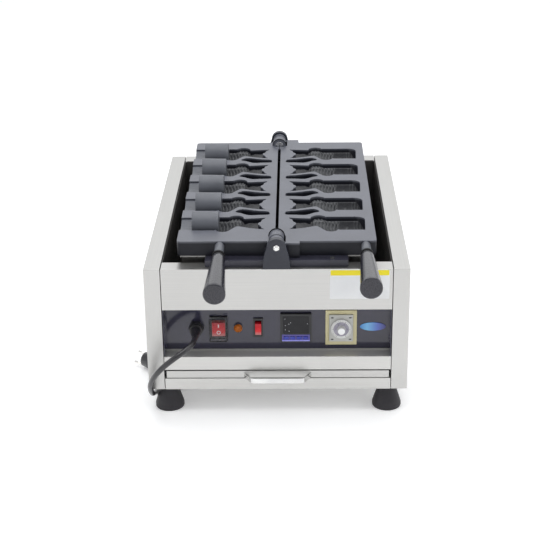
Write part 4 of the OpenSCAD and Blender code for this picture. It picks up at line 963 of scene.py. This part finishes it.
def add_timer_details():
    shade = coated("dial_shade", (0.3, 0.285, 0.35), (0.4, 0.38, 0.45), 0.3, 300, 0.03, patch=120)
    glow = coated("knob_white_painted_light", (0.93, 0.93, 0.93), (0.96, 0.96, 0.96), 0.25, 300, 0.03, coat=0.3)
    slot_painted_shade = coated("slot_shadow", (0.02, 0.02, 0.02), (0.035, 0.035, 0.03), 0.5, 300, 0.05)
    ring_on_front("dial_shaded_ring", (TIMER_X, DIAL_FACE_Y, CONTROL_Z), 6.7, 12.6, 0.08, "timer_dial",
                  "white_plastic", shade)
    # Painted light: the knob's cap is a brighter white than the dial's white plastic, against the shade
    # under the panel above it
    plate_on_front("knob_cap", oval_outline(11, 11), (TIMER_X, KNOB_FACE_Y, CONTROL_Z), 0.3, "timer_dial",
                   "white_plastic", glow, 0.1)
    # Painted shade: the four screw slots are flat dark ovals on the timer's face
    for i, (side, rise) in enumerate(((-1, 18.8), (1, 18.8), (-1, -19.6), (1, -19.6))):
        plate_on_front(f"timer_slot_{i + 1}", oval_outline(4.6, 2.4, 16),
                       (TIMER_X + side * 14.4, TIMER_FACE_Y, CONTROL_Z + rise), 0.1, HOUSING,
                       "black_plastic", slot_painted_shade, 0)


add_timer_details()


def add_dial_marks():
    ink = coated("dial_ink", (0.05, 0.05, 0.06), (0.08, 0.08, 0.09), 0.4, 300, 0.02)
    form = bmesh.new()
    for i in range(51):
        angle = math.radians(DIAL_START + 6 * i)
        inner = 12.0 if i % 10 == 0 else 13.8 if i % 2 == 0 else 14.6
        half = 0.22 if i % 10 == 0 else 0.14
        along = Vector((math.sin(angle), 0, math.cos(angle)))
        across = Vector((math.cos(angle), 0, -math.sin(angle)))
        centre = at(TIMER_X, DIAL_FACE_Y - 0.1, CONTROL_Z)
        corners = [centre + MM * (along * a + across * b) for a, b in
                   ((inner, -half), (inner, half), (TICK_OUTER, half), (TICK_OUTER, -half))]
        form.faces.new([form.verts.new(c) for c in corners])
    from_bmesh("dial_ticks", form, "timer_dial", "white_plastic", ink)
    for i in range(6):
        angle = math.radians(DIAL_START + 60 * i)
        text = bpy.data.curves.new(f"dial_number_{i}", "FONT")
        text.body = str(i)
        text.size = 3.4 * MM
        text.align_x = "CENTER"
        text.align_y = "CENTER"
        text.extrude = 0.02 * MM
        text.materials.append(ink)
        piece = bpy.data.objects.new(f"dial_number_{i}", text)
        piece.rotation_euler = (math.radians(90), 0, 0)
        piece.location = at(TIMER_X + NUMBER_R * math.sin(angle), DIAL_FACE_Y - 0.12,
                            CONTROL_Z + NUMBER_R * math.cos(angle))
        link(piece)
        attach(piece, "timer_dial")


add_dial_marks()


# Floor and light
FLOOR_GLOW = 0.24


def add_camera_glow(material):
    """Lifts the floor to white where the camera sees it, straight or in a mirror; its shadow stays."""
    tree = material.node_tree
    shader = tree.nodes["Principled BSDF"]
    rays = add_node(tree, "ShaderNodeLightPath")
    seen = add_node(tree, "ShaderNodeMath", operation="MAXIMUM")
    seen_through = add_node(tree, "ShaderNodeMath", operation="MAXIMUM")
    glow = add_node(tree, "ShaderNodeMath", operation="MULTIPLY")
    glow.inputs[1].default_value = FLOOR_GLOW
    tree.links.new(rays.outputs["Is Camera Ray"], seen.inputs[0])
    tree.links.new(rays.outputs["Is Glossy Ray"], seen.inputs[1])
    tree.links.new(seen.outputs["Value"], seen_through.inputs[0])
    tree.links.new(rays.outputs["Is Transmission Ray"], seen_through.inputs[1])
    tree.links.new(seen_through.outputs["Value"], glow.inputs[0])
    shader.inputs["Emission Color"].default_value = (1, 1, 1, 1)
    tree.links.new(glow.outputs["Value"], shader.inputs["Emission Strength"])


def add_stage():
    """A wide pale floor."""
    form = bmesh.new()
    bmesh.ops.create_grid(form, x_segments=1, y_segments=1, size=12)
    mesh = bpy.data.meshes.new("floor")
    form.to_mesh(mesh)
    form.free()
    floor = bpy.data.objects.new("floor", mesh)
    link(floor)
    paint = coated("floor_paint", (0.93, 0.93, 0.935), (0.95, 0.95, 0.955), 0.75, 2, 0.0)
    add_camera_glow(paint)
    mesh.materials.append(paint)


def add_area(name, place, target, size, energy):
    data = bpy.data.lights.new(name, "AREA")
    data.shape = "RECTANGLE"
    data.size, data.size_y = size
    data.energy = energy
    light = bpy.data.objects.new(name, data)
    light.location = place
    light.rotation_euler = (Vector(target) - Vector(place)).to_track_quat("-Z", "Y").to_euler()
    link(light)


def add_light():
    world = bpy.data.worlds.new("studio")
    bpy.context.scene.world = world
    world.use_nodes = True
    world.node_tree.nodes["Background"].inputs["Color"].default_value = (0.97, 0.985, 1.0, 1)
    world.node_tree.nodes["Background"].inputs["Strength"].default_value = 0.6
    add_area("overhead", (0, 0.3, 2.6), (0, 0, 0.2), (3.2, 3.2), 56)
    add_area("rear_box", (0, 2.6, 1.5), (0, 0, 0.2), (3.0, 1.6), 10)
    add_area("left_box", (-2.4, -1.0, 1.4), (0, 0, 0.2), (1.6, 1.6), 9)
    add_area("right_box", (2.4, -1.0, 1.4), (0, 0, 0.2), (1.6, 1.6), 9)
    bpy.context.scene.view_settings.view_transform = "Standard"


add_stage()
add_light()
